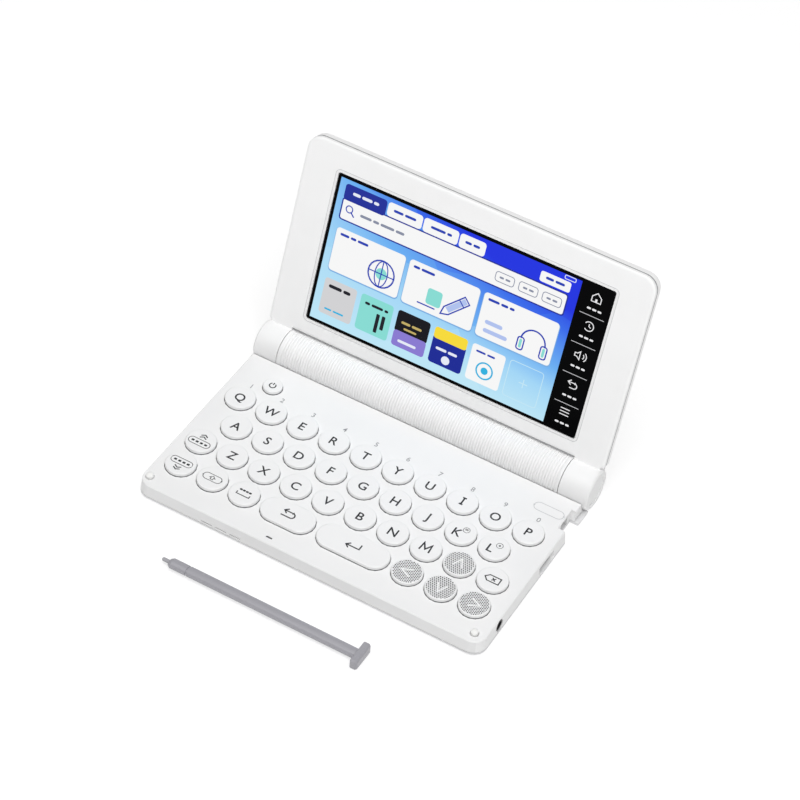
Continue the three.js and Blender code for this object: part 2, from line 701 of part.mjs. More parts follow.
function lidBackCover() {
  const shell = solid(slab(LID_AREA, LID_FOOT_CORNER, LID_CORNER, [
    [LID_SEAM - GAP, 0],
    ...edgeLevels(LID_BACK, LID_BACK_EDGE, 1),
  ]));
  const pocket = solid(slab(LID_AREA, LID_FOOT_CORNER + LID_RIM, LID_CORNER, [
    [LID_BACK + LID_BACK_WALL, LID_RIM],
    [LID_SEAM + OVERSHOOT, LID_RIM],
  ]));
  return shell.subtract(pocket);
}

function insetArea(area, inset) {
  return {
    left: area.left + inset, right: area.right - inset, low: area.low + inset, high: area.high - inset,
  };
}

function touchGlass() {
  const top = LID_FACE - GLASS_RECESS;
  const area = insetArea(WINDOW, GAP);
  return slab(area, WINDOW_CORNER, WINDOW_CORNER, [[top - GLASS_THICKNESS, 0], [top, 0]]);
}

function displayPanel() {
  const top = LID_FACE - GLASS_RECESS - GLASS_THICKNESS - GAP;
  const area = insetArea(WINDOW, PANEL_INSET);
  return slab(area, WINDOW_CORNER, WINDOW_CORNER, [[top - PANEL_THICKNESS, 0], [top, 0]]);
}

const BOARD_AREA = {
  left: BOARD_SIDE - HALF_WIDTH,
  right: HALF_WIDTH - BOARD_SIDE,
  low: FRONT + BOARD_FRONT_ROOM,
  high: CAVITY.high - BOARD_REAR_ROOM,
};

// A sheet under the keys, cut away on the right for the bay of the stylus
function sheet(bottom, top) {
  const whole = solid(slab(BOARD_AREA, BOARD_CORNER, BOARD_CORNER, [[bottom, 0], [top, 0]]));
  return geometryOf(whole.subtract(box(
    BAY_END - BAY_RIB - GAP, HALF_WIDTH, NOTCH_FRONT - BASE_WALL - GAP, AXIS_Y, bottom - OVERSHOOT, top + OVERSHOOT,
  )));
}

function speaker() {
  const front = FRONT + BASE_WALL + CASE_TAPER + GAP;
  const area = {
    left: fieldX(SPEAKER_SHARE) - SPEAKER.halfLength,
    right: fieldX(SPEAKER_SHARE) + SPEAKER.halfLength,
    low: front,
    high: front + SPEAKER.depth,
  };
  return slab(area, SPEAKER.corner, SPEAKER.corner, [[BOARD_BOTTOM, 0], [FLANGE_TOP, 0]]);
}

function usbSocket() {
  const { y, z, height } = socketPlace();
  const block = (inner, outer, inset) => box(
    inner, outer,
    y - SOCKET.width / 2 + inset, y + SOCKET.width / 2 - inset,
    z - height / 2 + inset, z + height / 2 - inset,
  );
  const body = block(SOCKET_OUTER - SOCKET.depth, SOCKET_OUTER, 0);
  return body.subtract(block(SOCKET_OUTER - SOCKET.mouth, SOCKET_OUTER + OVERSHOOT, SOCKET.wall));
}

function headphoneJack() {
  const { y, z, radius, bore } = jackPlace();
  return turnedAlongX([
    [0, JACK_INNER],
    [radius, JACK_INNER],
    [radius, JACK_FACE],
    [bore, JACK_FACE],
    [bore, JACK_INNER + JACK.floor],
    [0, JACK_INNER + JACK.floor],
  ], JACK_SIDES, y, z);
}

function cornerBumper(x) {
  const seat = DECK_TOP - BUMPER_SEAT + GAP;
  const round = BUMPER_RADIUS / 2;
  return turned([
    [0, seat],
    [BUMPER_RADIUS, seat],
    [BUMPER_RADIUS, BUMPER_TOP - round],
    [BUMPER_RADIUS - round / 2, BUMPER_TOP - round / 4],
    [0, BUMPER_TOP],
  ], BUMPER_SIDES).translate(x, BUMPER_Y, 0);
}

function foot(y) {
  const top = FOOT_SEAT - GAP;
  const edge = FOOT_HEIGHT / 3;
  return turned([
    [0, -FOOT_HEIGHT],
    [FOOT_WIDTH / 2 - edge, -FOOT_HEIGHT],
    [FOOT_WIDTH / 2, edge - FOOT_HEIGHT],
    [FOOT_WIDTH / 2, top],
    [0, top],
  ], KEY_SIDES, FOOT_HALF_STRAIGHT).translate(0, y, 0);
}

// The pen: thin tip, nose, ring groove, flattened body and a bar across its end, lying along X from x = 0
function stylus() {
  const outline = (halfWidth, halfHeight) => Array.from({ length: STYLUS_SIDES }, (_, i) => {
    const angle = ((i + 0.5) * 2 * Math.PI) / STYLUS_SIDES;
    return new THREE.Vector2(halfHeight * Math.cos(angle), halfWidth * Math.sin(angle));
  });
  const halfWidth = STYLUS_WIDTH / 2;
  const halfHeight = STYLUS_HEIGHT / 2;
  const tip = STYLUS_TIP_RADIUS;
  const grooveStart = STYLUS_TIP + STYLUS_NOSE + STYLUS_FRONT;
  const bodyEnd = grooveStart + STYLUS_GROOVE + STYLUS_BODY;
  const stations = [
    [0, tip * POINT_SHARE, tip * POINT_SHARE],
    [tip / 2, tip, tip],
    [STYLUS_TIP, tip, tip],
    [STYLUS_TIP, halfWidth * NOSE_SHARE, halfHeight * NOSE_SHARE],
    [STYLUS_TIP + STYLUS_NOSE, halfWidth, halfHeight],
    [grooveStart, halfWidth, halfHeight],
    [grooveStart, halfWidth - STYLUS_GROOVE_DEPTH, halfHeight - STYLUS_GROOVE_DEPTH],
    [grooveStart + STYLUS_GROOVE, halfWidth - STYLUS_GROOVE_DEPTH, halfHeight - STYLUS_GROOVE_DEPTH],
    [grooveStart + STYLUS_GROOVE, halfWidth, halfHeight],
    [bodyEnd + HEAD_EDGE, halfWidth, halfHeight],
  ];
  const pen = loft(stations.map(([z, wide, high]) => ({ z, outline: outline(wide, high) })));
  const headArea = {
    left: -HEAD_HEIGHT / 2, right: HEAD_HEIGHT / 2, low: -HEAD_WIDTH / 2, high: HEAD_WIDTH / 2,
  };
  const head = slab(headArea, HEAD_EDGE, HEAD_EDGE, [
    [bodyEnd, HEAD_EDGE / 2],
    [bodyEnd + HEAD_EDGE / 2, 0],
    [bodyEnd + HEAD_THICKNESS - HEAD_EDGE, 0],
    [bodyEnd + HEAD_THICKNESS, HEAD_EDGE],
  ]);
  return solid(pen.rotateY(Math.PI / 2)).add(solid(head.rotateY(Math.PI / 2)));
}

function buildLid() {
  const lid = new THREE.Group();
  addMesh(lid, 'lid_front_bezel', geometryOf(lidFrontBezel()), 'white');
  addMesh(lid, 'lid_back_cover', geometryOf(lidBackCover()), 'white');
  addMesh(lid, 'touch_glass', touchGlass(), 'glassBlack');
  addMesh(lid, 'display_panel', displayPanel(), 'panelBlue');
  lid.position.set(0, AXIS_Y, AXIS_Z);
  lid.rotation.x = Math.PI - THREE.MathUtils.degToRad(LID_OPEN_DEG);
  return lid;
}

function buildBase() {
  const base = new THREE.Group();
  addMesh(base, 'deck_case', geometryOf(deckCase()), 'white');
  addMesh(base, 'lower_case', geometryOf(lowerCase()), 'white');
  addMesh(base, 'hinge_barrel', geometryOf(hingeBarrel()), 'white');
  addMesh(base, 'battery_cover', geometryOf(batteryCover()), 'white');
  addMesh(base, 'battery_left', cell(CELLS_MIDDLE - CELLS_HALF), 'cell');
  addMesh(base, 'battery_right', cell(CELLS_MIDDLE + GAP / 2), 'cell');
  addMesh(base, 'hinge_pin_left', hingePin(BARREL_LEFT), 'steel');
  addMesh(base, 'hinge_pin_right', hingePin(BARREL_RIGHT), 'steel');
  addMesh(base, 'main_board', sheet(BOARD_BOTTOM, BOARD_TOP), 'board');
  addMesh(base, 'keypad_mat', sheet(MAT_BOTTOM, MAT_TOP), 'rubber');
  addMesh(base, 'speaker', speaker(), 'black');
  addMesh(base, 'usb_socket', geometryOf(usbSocket()), 'steel');
  addMesh(base, 'headphone_jack', headphoneJack(), 'black');
  addMesh(base, 'bumper_left', cornerBumper(BUMPER_X.left), 'rubber');
  addMesh(base, 'bumper_right', cornerBumper(BUMPER_X.right), 'rubber');
  for (const [name, y] of Object.entries(FOOT_Y)) addMesh(base, name, foot(y), 'rubber');
  return base;
}

function buildKeys() {
  const keys = new THREE.Group();
  const arrows = ['up', 'down', 'left', 'right'];
  for (const key of allKeys()) {
    const look = arrows.includes(key.name) ? 'arrowGrey' : 'keyWhite';
    addMesh(keys, `key_${key.name}`, keyCap(key), look).position.set(key.x, key.y, 0);
  }
  return keys;
}

const group = new THREE.Group();
group.add(buildBase(), buildKeys(), buildLid());
const pen = addMesh(group, 'stylus', geometryOf(stylus()), 'stylusGrey');
pen.position.set(STYLUS_X, STYLUS_Y, HEAD_HEIGHT / 2 - FOOT_HEIGHT);

export default group;
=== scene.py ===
"""Folding electronic dictionary: its finishes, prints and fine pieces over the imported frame."""

import math

import bmesh
import bpy
from bpy.props import FloatProperty, FloatVectorProperty, IntProperty, PointerProperty
from mathutils import Matrix, Vector


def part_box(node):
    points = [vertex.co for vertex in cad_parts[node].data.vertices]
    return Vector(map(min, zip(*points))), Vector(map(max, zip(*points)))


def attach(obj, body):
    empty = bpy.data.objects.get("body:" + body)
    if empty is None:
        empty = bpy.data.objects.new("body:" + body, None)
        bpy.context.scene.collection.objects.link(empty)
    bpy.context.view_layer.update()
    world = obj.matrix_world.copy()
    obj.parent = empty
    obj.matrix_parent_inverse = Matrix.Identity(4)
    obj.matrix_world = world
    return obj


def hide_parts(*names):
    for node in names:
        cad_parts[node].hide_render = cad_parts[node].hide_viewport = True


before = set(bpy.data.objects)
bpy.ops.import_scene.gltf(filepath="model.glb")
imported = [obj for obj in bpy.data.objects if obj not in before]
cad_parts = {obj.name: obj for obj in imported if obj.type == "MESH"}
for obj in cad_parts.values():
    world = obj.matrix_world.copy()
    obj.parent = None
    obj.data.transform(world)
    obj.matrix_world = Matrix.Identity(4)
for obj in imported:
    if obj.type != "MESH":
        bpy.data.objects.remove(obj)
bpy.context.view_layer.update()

bl_info = {
    "name": "Folding electronic dictionary",
    "version": (1, 0, 0),
    "blender": (4, 5, 0),
    "location": "3D View > Sidebar > Dictionary",
    "description": "Makes the finishes and fine pieces of a folding electronic dictionary",
    "category": "Object",
}

MM = 0.001
LETTERS = "qwertyuiopasdfghjklzxcvbnm"
ARROWS = {"up": 90, "down": 270, "left": 180, "right": 0}
DIGITS = dict(zip("qwertyuiop", "1234567890"))


def linear(code):
    """An sRGB hex colour as linear red, green and blue."""
    parts = [int(code[i:i + 2], 16) / 255 for i in (1, 3, 5)]
    return tuple(c / 12.92 if c <= 0.04045 else ((c + 0.055) / 1.055) ** 2.4 for c in parts)


def size(name, millimetres, description):
    return FloatProperty(
        name=name, description=description, default=millimetres * MM, unit="LENGTH", precision=5,
    )


def angle(name, degrees, description):
    return FloatProperty(
        name=name, description=description, default=math.radians(degrees), subtype="ANGLE", unit="ROTATION",
    )


def colour(name, code, description):
    return FloatVectorProperty(
        name=name, description=description, default=linear(code), subtype="COLOR", size=3, min=0, max=1,
    )


# Sizes and colours that a user would change

class DictionaryColours(bpy.types.PropertyGroup):
    shell: colour("Shell", "#EDEDED", "White moulded shell")
    # Lid: a whiter tone than the shell, painted on the lid's shells as the extra light that their face
    # catches
    lid: colour("Lid", "#F6F6F6", "White moulded shells of the lid")
    # Front wall: a greyer white painted on the forward faces of the front wall as their shade
    wall: colour("Front wall", "#E6E6E6", "White of the sloped front wall")
    # Lip: a greyer white painted on the lower case so that its lip shows as a shaded band against the floor
    lip: colour("Lip", "#DADADB", "Paler grey of the lower case and its thin lip")
    key: colour("Keys", "#EEEEEE", "White key tops")
    # Key foot: grey painted on the neck and foot, standing in for the shade in the gap round a key
    key_foot: colour("Key foot", "#8E8E91", "Grey neck and foot under a key top")
    # Seam: grey painted in the lid's seams, standing in for the shade inside them
    seam_shade: colour("Seam", "#98989B", "Grey strips in the seams of the lid")
    ink: colour("Dark print", "#28282B", "Letters and symbols on the keys")
    pale_ink: colour("Pale print", "#9A9A9D", "Small numbers on the deck")
    # Faint line: painted shade along the step of the label field and round the outer step of the glass rim
    faint_ink: colour("Faint print", "#C6C6C8", "Outline of the label field on the deck")
    white_ink: colour("White print", "#F4F4F4", "Chevrons on the arrow keys")
    pattern: colour("Arrow pattern", "#505053", "Dots on the arrow keys")
    stylus: colour("Stylus", "#A09FA5", "Moulded grey of the stylus")
    tip: colour("Stylus tip", "#A3A2A7", "Grey of the soft tip")
    glass: colour("Glass border", "#050506", "Black printed border behind the glass")
    rubber: colour("Rubber", "#F2F2F0", "Feet, stops and key mat")
    black: colour("Black plastic", "#17171A", "Speaker, headphone jack and display panel")
    lamp: colour("Lamp", "#5A5A5C", "Smoked window of the lamp")


class BarrelSizes(bpy.types.PropertyGroup):
    radius: size("Radius", 9, "Outside of the barrel")
    bore: size("Bore", 7.55, "Inside of the barrel round the cells")
    end_bore: size("End bore", 2.7, "Hole for the hinge pin")
    rib_pitch: size("Rib pitch", 1.231, "From one rib to the next")
    rib_depth: size("Rib depth", 0.38, "Depth of the groove between ribs")
    rib_margin: size("Plain end", 1.2, "Plain length at each end")
    clearance: size("Clearance", 0.3, "Gap round the battery cover")
    cover_from: angle("Cover from", -105, "Lower edge of the battery cover")
    cover_to: angle("Cover to", 50, "Upper edge of the battery cover")
    samples: IntProperty(name="Samples", description="Points along one rib", default=4, min=3)


class LidSizes(bpy.types.PropertyGroup):
    open_angle: angle("Open angle", 107.3, "Angle between the lid and the base")
    glass_top: size("Glass level", -0.9, "Top of the glass, from the plane through the axis")
    face: size("Bezel level", -0.8, "Front of the bezel, from the plane through the axis")
    layer: size("Layer", 0.012, "From one layer of the display picture to the next")
    rim: size("Rim width", 1.1, "Stepped rim round the glass")
    rim_rise: size("Rim height", 0.09, "How far the stepped rim stands up")
    seam: size("Seam level", -3.0, "Middle of the seam between the shells, from the plane through the axis")
    # The strip in the seam is grey painted shade, standing in for the shade inside the seam
    seam_width: size("Seam width", 0.7, "Height of the strip in the seam")
    seam_inset: size("Seam inset", 0.0, "How far the strip lies behind the edge")
    # The line round the rim is painted shade along the rim's outer step
    rim_line: size("Rim line", 0.2, "Width of the grey line round the rim of the glass")


class KeySizes(bpy.types.PropertyGroup):
    edge: size("Edge round", 0.45, "Rounding at the top of a key")
    undercut: size("Undercut", 0.12, "How far the neck of a key lies under its edge")
    neck_rise: size("Neck height", 0.2, "Height of the neck over the deck")
    dish: size("Dish", 0.12, "How far the middle of a key lies under its rim")
    flange: size("Foot", 0.5, "How far the foot stands out under the deck")
    foot_rise: size("Foot height", 0.7, "Height of the foot")
    foot_slack: size("Foot slack", 0.1, "How far the foot stays inside its solid")
    sides: IntProperty(name="Sides", description="Points round a key", default=56, min=16)
    print_rise: size("Print thickness", 0.012, "Thickness of the ink")
    letter: size("Letter height", 4.3, "Height of a capital letter")
    digit: size("Digit height", 2.5, "Height of a number on the deck")
    digit_back: size("Digit place", 9.3, "How far a number lies behind the middle of its key")
    digit_left: size("Digit shift", 0.2, "How far a number lies to the left of the middle of its key")
    stroke: size("Line width", 0.36, "Line width of a symbol")
    letter_stroke: size("Letter line", 0.7, "Line width of a letter drawn with straight lines")
    boldness: size("Letter weight", 0.075, "How far a letter's outline is thickened")
    dot_pitch: size("Dot pitch", 0.909, "From one dot to each of its six neighbours on an arrow key")
    dot_radius: size("Dot radius", 0.345, "Radius of a dot on an arrow key")
    pattern_radius: size("Pattern radius", 6.05, "Reach of the middles of the dots on an arrow key")
    sign_line: size("Arrow line", 0.7, "Line width of the sign on an arrow key")


class StageSettings(bpy.types.PropertyGroup):
    azimuth: angle("Azimuth", 25.93, "Camera direction round the object")
    elevation: angle("Elevation", 45.05, "Camera height above the horizon")
    roll: angle("Roll", 5.66, "Camera turn about its own axis")
    distance: size("Distance", 1199.47, "Camera to target")
    lens: FloatProperty(name="Lens", description="Focal length in millimetres", default=129.22)
    target: FloatVectorProperty(
        name="Target", description="Point that the camera looks at",
        default=(-0.01681, 0.05257, -0.0006), subtype="TRANSLATION", size=3,
    )
    floor: colour("Floor", "#FBFBFB", "Plain pale floor")


class DictionarySettings(bpy.types.PropertyGroup):
    colours: PointerProperty(type=DictionaryColours)
    barrel: PointerProperty(type=BarrelSizes)
    lid: PointerProperty(type=LidSizes)
    keys: PointerProperty(type=KeySizes)
    stage: PointerProperty(type=StageSettings)


# Nodes

def add(tree, kind, *wired, inputs=None, **settings):
    """Adds a node. Values or sockets fill its inputs in order or by name, and keywords set its properties.

    A kind in capitals is the operation of a Math node."""
    if kind.isupper():
        kind, settings["operation"] = "ShaderNodeMath", kind
    node = tree.nodes.new(kind)
    for key, value in settings.items():
        setattr(node, key, value)
    for key, value in [*enumerate(wired), *(inputs or {}).items()]:
        if isinstance(value, bpy.types.Node):
            value = value.outputs[0]
        if isinstance(value, bpy.types.NodeSocket):
            tree.links.new(value, node.inputs[key])
        else:
            node.inputs[key].default_value = value
    return node


def shader_tree(name):
    material = bpy.data.materials.new(name)
    material.use_nodes = True
    material.node_tree.nodes.clear()
    return material, material.node_tree


def surfaced(material, sockets):
    """Ends a material in one shader with the given sockets."""
    shader = add(material.node_tree, "ShaderNodeBsdfPrincipled", inputs=sockets)
    add(material.node_tree, "ShaderNodeOutputMaterial", shader)
    return material


def rgba(rgb, share=1.0):
    """A colour with its alpha, darkened to a share of its light."""
    return (*(c * share for c in rgb), 1.0)


# Noise stays mostly between these two values
NOISE_BAND = 0.3, 0.7


def moulded(name, rgb, roughness, ior=1.54, grain=0.35, depth=0.006, mottle=0.96):
    """Injection-moulded plastic: a fine spark-eroded grain in millimetres, and slow changes of tone."""
    material, tree = shader_tree(name)
    place = add(tree, "ShaderNodeTexCoord").outputs["Object"]
    grains = add(tree, "ShaderNodeTexNoise", inputs={
        "Vector": place, "Scale": 1 / (grain * MM), "Detail": 2.0, "Roughness": 0.6,
    })
    cloud = add(tree, "ShaderNodeTexNoise", inputs={"Vector": place, "Scale": 1 / (14 * MM), "Detail": 2.0})
    tones = {0: cloud, 6: rgba(rgb, mottle), 7: rgba(rgb)}
    tone = add(tree, "ShaderNodeMix", data_type="RGBA", inputs=tones)
    gloss = add(tree, "ShaderNodeMapRange", grains, *NOISE_BAND, roughness - 0.05, roughness + 0.05)
    bump = add(tree, "ShaderNodeBump", inputs={"Height": grains, "Distance": depth * MM, "Strength": 0.6})
    return surfaced(material, {
        "Base Color": tone.outputs[2], "Roughness": gloss, "Normal": bump, "IOR": ior,
    })


def inked(name, rgb):
    """Pad-printed ink: flat colour with faint darker specks."""
    material, tree = shader_tree(name)
    place = add(tree, "ShaderNodeTexCoord").outputs["Object"]
    speck = add(tree, "ShaderNodeTexNoise", inputs={"Vector": place, "Scale": 1 / (0.5 * MM), "Detail": 1.0})
    tone = add(tree, "ShaderNodeMix", data_type="RGBA", inputs={0: speck, 6: rgba(rgb), 7: rgba(rgb, 0.9)})
    return surfaced(material, {"Base Color": tone.outputs[2], "Roughness": 0.45, "IOR": 1.5})


def shining(material, light):
    """The display: it shines with its own colour under a glossy face."""
    return surfaced(material, {
        "Base Color": (0.004, 0.004, 0.005, 1.0), "Roughness": 0.12, "IOR": 1.52, "Specular IOR Level": 0.02,
        "Emission Color": light, "Emission Strength": 0.92,
    })


def lit(name, rgb):
    """A lit part of the display picture in one colour."""
    return shining(shader_tree(name)[0], rgba(rgb))


def black_glass():
    """Float glass over a black printed border: smooth, with a faint change of gloss from handling."""
    material, tree = shader_tree("black_bordered_glass")
    place = add(tree, "ShaderNodeTexCoord").outputs["Object"]
    smear = add(tree, "ShaderNodeTexNoise", inputs={"Vector": place, "Scale": 1 / (25 * MM), "Detail": 1.0})
    gloss = add(tree, "ShaderNodeMapRange", smear, *NOISE_BAND, 0.06, 0.12)
    # The anti-glare coating keeps most of the mirror light down
    return surfaced(material, {
        "Base Color": rgba(shade_of("glass")), "Roughness": gloss, "IOR": 1.52, "Specular IOR Level": 0.02,
    })


def wallpaper():
    """The lit background: pale blue at the lower left, deep blue at the upper right, and slanting facets."""
    material, tree = shader_tree("lit_blue_wallpaper")
    place = add(tree, "ShaderNodeUVMap", uv_map="screen").outputs[0]
    across = add(tree, "ShaderNodeSeparateXYZ", place)
    # The blue deepens up the screen, and more so towards the right, in shares of the screen
    weight = add(tree, "ADD", add(tree, "MULTIPLY", across, 0.85), 0.36)
    total = add(tree, "MULTIPLY", weight, across.outputs[1])
    # Each facet is a straight edge: its direction, its distance and how much it deepens the blue
    facets = [
        ((0.92, 0.39, 0), 0.68, 0.07), ((-0.35, 0.93, 0), 0.47, 0.06), ((0.74, -0.67, 0), 0.2, -0.06),
        ((0.3, 0.95, 0), 0.98, 0.05),
    ]
    for way, distance, weight in facets:
        lean = add(tree, "ShaderNodeVectorMath", place, way, operation="DOT_PRODUCT").outputs["Value"]
        past = add(tree, "GREATER_THAN", lean, distance)
        total = add(tree, "ADD", total, add(tree, "MULTIPLY", past, weight))
    ramp = add(tree, "ShaderNodeValToRGB", total)
    stops = [(0.0, "#C4EEFF"), (0.26, "#A9DEFF"), (0.46, "#70B6FB"), (0.78, "#3D70F3"), (1.0, "#2437E8")]
    elements = ramp.color_ramp.elements
    while len(elements) < len(stops):
        elements.new(0.5)
    for element, (at, code) in zip(elements, stops):
        element.position, element.color = at, rgba(linear(code))
    return shining(material, ramp)


def plated_steel():
    """Bright drawn steel, brushed along X: hinge pins and the shell of the socket."""
    material, tree = shader_tree("plated_steel")
    place = add(tree, "ShaderNodeTexCoord").outputs["Object"]
    along = add(tree, "ShaderNodeMapping", place, inputs={"Scale": (0.1, 1, 1)})
    lines = add(tree, "ShaderNodeTexNoise", inputs={"Vector": along, "Scale": 1 / (0.3 * MM), "Detail": 2.0})
    gloss = add(tree, "ShaderNodeMapRange", lines, *NOISE_BAND, 0.22, 0.38)
    return surfaced(material, {"Base Color": rgba(linear("#C3C6C8")), "Metallic": 1.0, "Roughness": gloss})


def solder_mask():
    """Green solder mask on glass laminate, with copper tracks showing as paler lines 1.6 mm apart."""
    material, tree = shader_tree("green_circuit_board")
    place = add(tree, "ShaderNodeTexCoord").outputs["Object"]
    tracks = add(tree, "ShaderNodeTexBrick", place, offset=0.37, squash=0.6, inputs={
        "Scale": 1.0, "Brick Width": 9 * MM, "Row Height": 1.6 * MM, "Mortar Size": 0.2 * MM,
        "Color1": rgba(linear("#1E5B3C")), "Color2": rgba(linear("#235F40")),
        "Mortar": rgba(linear("#3F8A5C")),
    })
    return surfaced(material, {"Base Color": tracks, "Roughness": 0.35, "IOR": 1.55})


def cell_jacket():
    """Printed steel cell: graphite jacket with a copper band towards its positive end."""
    material, tree = shader_tree("cell_jacket")
    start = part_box("battery_left")[0].x
    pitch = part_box("battery_right")[0].x - start
    place = add(tree, "ShaderNodeTexCoord").outputs["Object"]
    along = add(tree, "SUBTRACT", add(tree, "ShaderNodeSeparateXYZ", place), start)
    band = add(tree, "GREATER_THAN", add(tree, "MODULO", along, pitch), pitch * 0.72)
    tone = add(tree, "ShaderNodeMix", data_type="RGBA", inputs={
        0: band, 6: rgba(linear("#3A3D42")), 7: rgba(linear("#B27A4A")),
    })
    return surfaced(material, {"Base Color": tone.outputs[2], "Metallic": 0.7, "Roughness": 0.32})


def lit_floor(rgb):
    """A light table under matte paper: most of its white is its own glow, so shadows on it stay faint."""
    material, tree = shader_tree("lit_studio_floor")
    place = add(tree, "ShaderNodeTexCoord").outputs["Object"]
    tooth = add(tree, "ShaderNodeTexNoise", inputs={"Vector": place, "Scale": 1 / (0.8 * MM), "Detail": 2.0})
    bump = add(tree, "ShaderNodeBump", inputs={"Height": tooth, "Distance": 0.01 * MM, "Strength": 0.2})
    return surfaced(material, {
        "Base Color": rgba(rgb, 0.45), "Roughness": 0.9, "Normal": bump, "Specular IOR Level": 0.1,
        "Emission Color": rgba(rgb), "Emission Strength": 0.64,
    })


# Plastics and rubbers, each by its colour's name: material name, roughness, and what else differs
PLASTICS = {
    "shell": ("moulded_white_shell", 0.5, {}),
    # Painted light: the lid's shells are whiter than the base's shell
    "lid": ("moulded_white_lid_shell", 0.5, {}),
    # Painted shade of the sloped front wall
    "wall": ("moulded_white_front_wall", 0.55, {}),
    # Painted shade of the lower case and its lip
    "lip": ("moulded_grey_lower_case", 0.55, {}),
    "key": ("moulded_white_key", 0.42, {"grain": 0.3, "mottle": 0.98}),
    # Painted shade in the gap round a key
    "key_foot": ("moulded_grey_key_foot", 0.6, {"grain": 0.3}),
    # Painted shade in the seams of the lid
    "seam_shade": ("grey_seam_strip", 0.7, {"ior": 1.41, "grain": 0.5}),
    "stylus": ("moulded_grey_stylus", 0.38, {"grain": 0.25, "mottle": 0.93}),
    "tip": ("soft_stylus_tip", 0.55, {"grain": 0.25}),
    "rubber": ("pale_silicone_rubber", 0.7, {"ior": 1.41, "grain": 0.5, "depth": 0.01}),
    "black": ("moulded_black_plastic", 0.45, {"grain": 0.3}),
    "lamp": ("smoked_lamp_window", 0.2, {"ior": 1.49, "mottle": 0.9}),
}
INKS = {
    # The faint one is painted shade along edges, not print
    "ink": "dark_print", "pale_ink": "pale_print", "faint_ink": "faint_print", "white_ink": "white_print",
    "pattern": "grey_dot_print",
}
OTHERS = {
    "glass": black_glass, "steel": plated_steel, "board": solder_mask, "cell": cell_jacket,
    "wallpaper": wallpaper,
}
FINISHES = {}


def shade_of(name):
    """A colour that the user may change, by its name."""
    return getattr(bpy.context.scene.dictionary.colours, name)


def finish(name):
    """One material for each finish, made when it is first asked for."""
    if name not in FINISHES:
        if name in PLASTICS:
            label, roughness, rest = PLASTICS[name]
            FINISHES[name] = moulded(label, shade_of(name), roughness, **rest)
        elif name in INKS:
            FINISHES[name] = inked(INKS[name], shade_of(name))
        else:
            FINISHES[name] = OTHERS[name]()
    return FINISHES[name]


# Making pieces

def shown(name, data):
    """A new object in the scene."""
    obj = bpy.data.objects.new(name, data)
    bpy.context.scene.collection.objects.link(obj)
    return obj


def placed(mesh, matrix):
    mesh.transform(matrix)
    return mesh


def moved(mesh, x, y, z):
    return placed(mesh, Matrix.Translation((x, y, z)))


def piece(name, mesh, body, look, stands_for=()):
    """Puts a finished mesh in the scene, on its body and with its finish."""
    mesh.name = name
    obj = shown(name, mesh)
    if look is not None:
        mesh.materials.clear()
        mesh.materials.append(look)
    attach(obj, body)
    if stands_for:
        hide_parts(*stands_for)
    return obj


def recoloured(obj, look, chosen):
    """Gives a second finish to the faces that a test chooses."""
    obj.data.materials.append(look)
    for face in obj.data.polygons:
        if chosen(face):
            face.material_index = 1


def merged(meshes, within=0.0, outward=True):
    """One mesh from several, with points closer than a distance drawn together and its faces turned out."""
    bm = bmesh.new()
    for mesh in meshes:
        bm.from_mesh(mesh)
        bpy.data.meshes.remove(mesh)
    if within:
        bmesh.ops.remove_doubles(bm, verts=bm.verts, dist=within)
    if outward:
        bmesh.ops.recalc_face_normals(bm, faces=bm.faces)
    whole = bpy.data.meshes.new("piece")
    bm.to_mesh(whole)
    bm.free()
    return whole


def baked(obj):
    """The plain mesh that an object makes; the object and its modifiers go."""
    graph = bpy.context.evaluated_depsgraph_get()
    mesh = bpy.data.meshes.new_from_object(obj.evaluated_get(graph))
    obj.modifiers.clear()
    bpy.data.objects.remove(obj)
    return mesh


def shade(mesh, limit=32):
    """Smooth faces, with an edge kept wherever two faces meet at more than the limit."""
    mesh.shade_smooth()
    mesh.set_sharp_from_angle(angle=math.radians(limit))
    return mesh


def broken(obj, width, **settings):
    """Breaks the sharp edges of a piece."""
    bevel = obj.modifiers.new("Broken edges", "BEVEL")
    bevel.width = width
    bevel.segments = 2
    bevel.limit_method = "ANGLE"
    for key, value in settings.items():
        setattr(bevel, key, value)


def dressed(node, name, body, look, edge=0.0, limit=32):
    """A merged copy of a solid of the frame, smoothly shaded and with its edges slightly broken."""
    bm = bmesh.new()
    bm.from_mesh(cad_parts[node].data)
    bmesh.ops.remove_doubles(bm, verts=bm.verts, dist=0.001 * MM)
    bmesh.ops.dissolve_limit(
        bm, angle_limit=math.radians(0.5), use_dissolve_boundaries=False, verts=bm.verts, edges=bm.edges,
    )
    mesh = bpy.data.meshes.new(name)
    bm.to_mesh(mesh)
    bm.free()
    obj = piece(name, shade(mesh, limit), body, look, [node])
    if edge:
        # A facet of a round stays, because the angle is a little over the limit for a smooth edge
        broken(obj, edge * MM, angle_limit=math.radians(limit + 3), miter_outer="MITER_ARC")
    # The broad flat faces keep their own shading, and the rounds blend into them
    even = obj.modifiers.new("Even shading", "WEIGHTED_NORMAL")
    even.keep_sharp = True
    even.weight = 100
    return obj


def new_tree(name, sockets):
    """A geometry tree with named inputs, their kinds told by their defaults; None stands for a material."""
    kinds = {float: "NodeSocketFloat", int: "NodeSocketInt", type(None): "NodeSocketMaterial"}
    tree = bpy.data.node_groups.new(name, "GeometryNodeTree")
    for way in ("INPUT", "OUTPUT"):
        tree.interface.new_socket("Geometry", in_out=way, socket_type="NodeSocketGeometry")
    for label, default in sockets.items():
        socket = tree.interface.new_socket(label, in_out="INPUT", socket_type=kinds[type(default)])
        if default is not None:
            socket.default_value = default
    return tree, add(tree, "NodeGroupInput").outputs


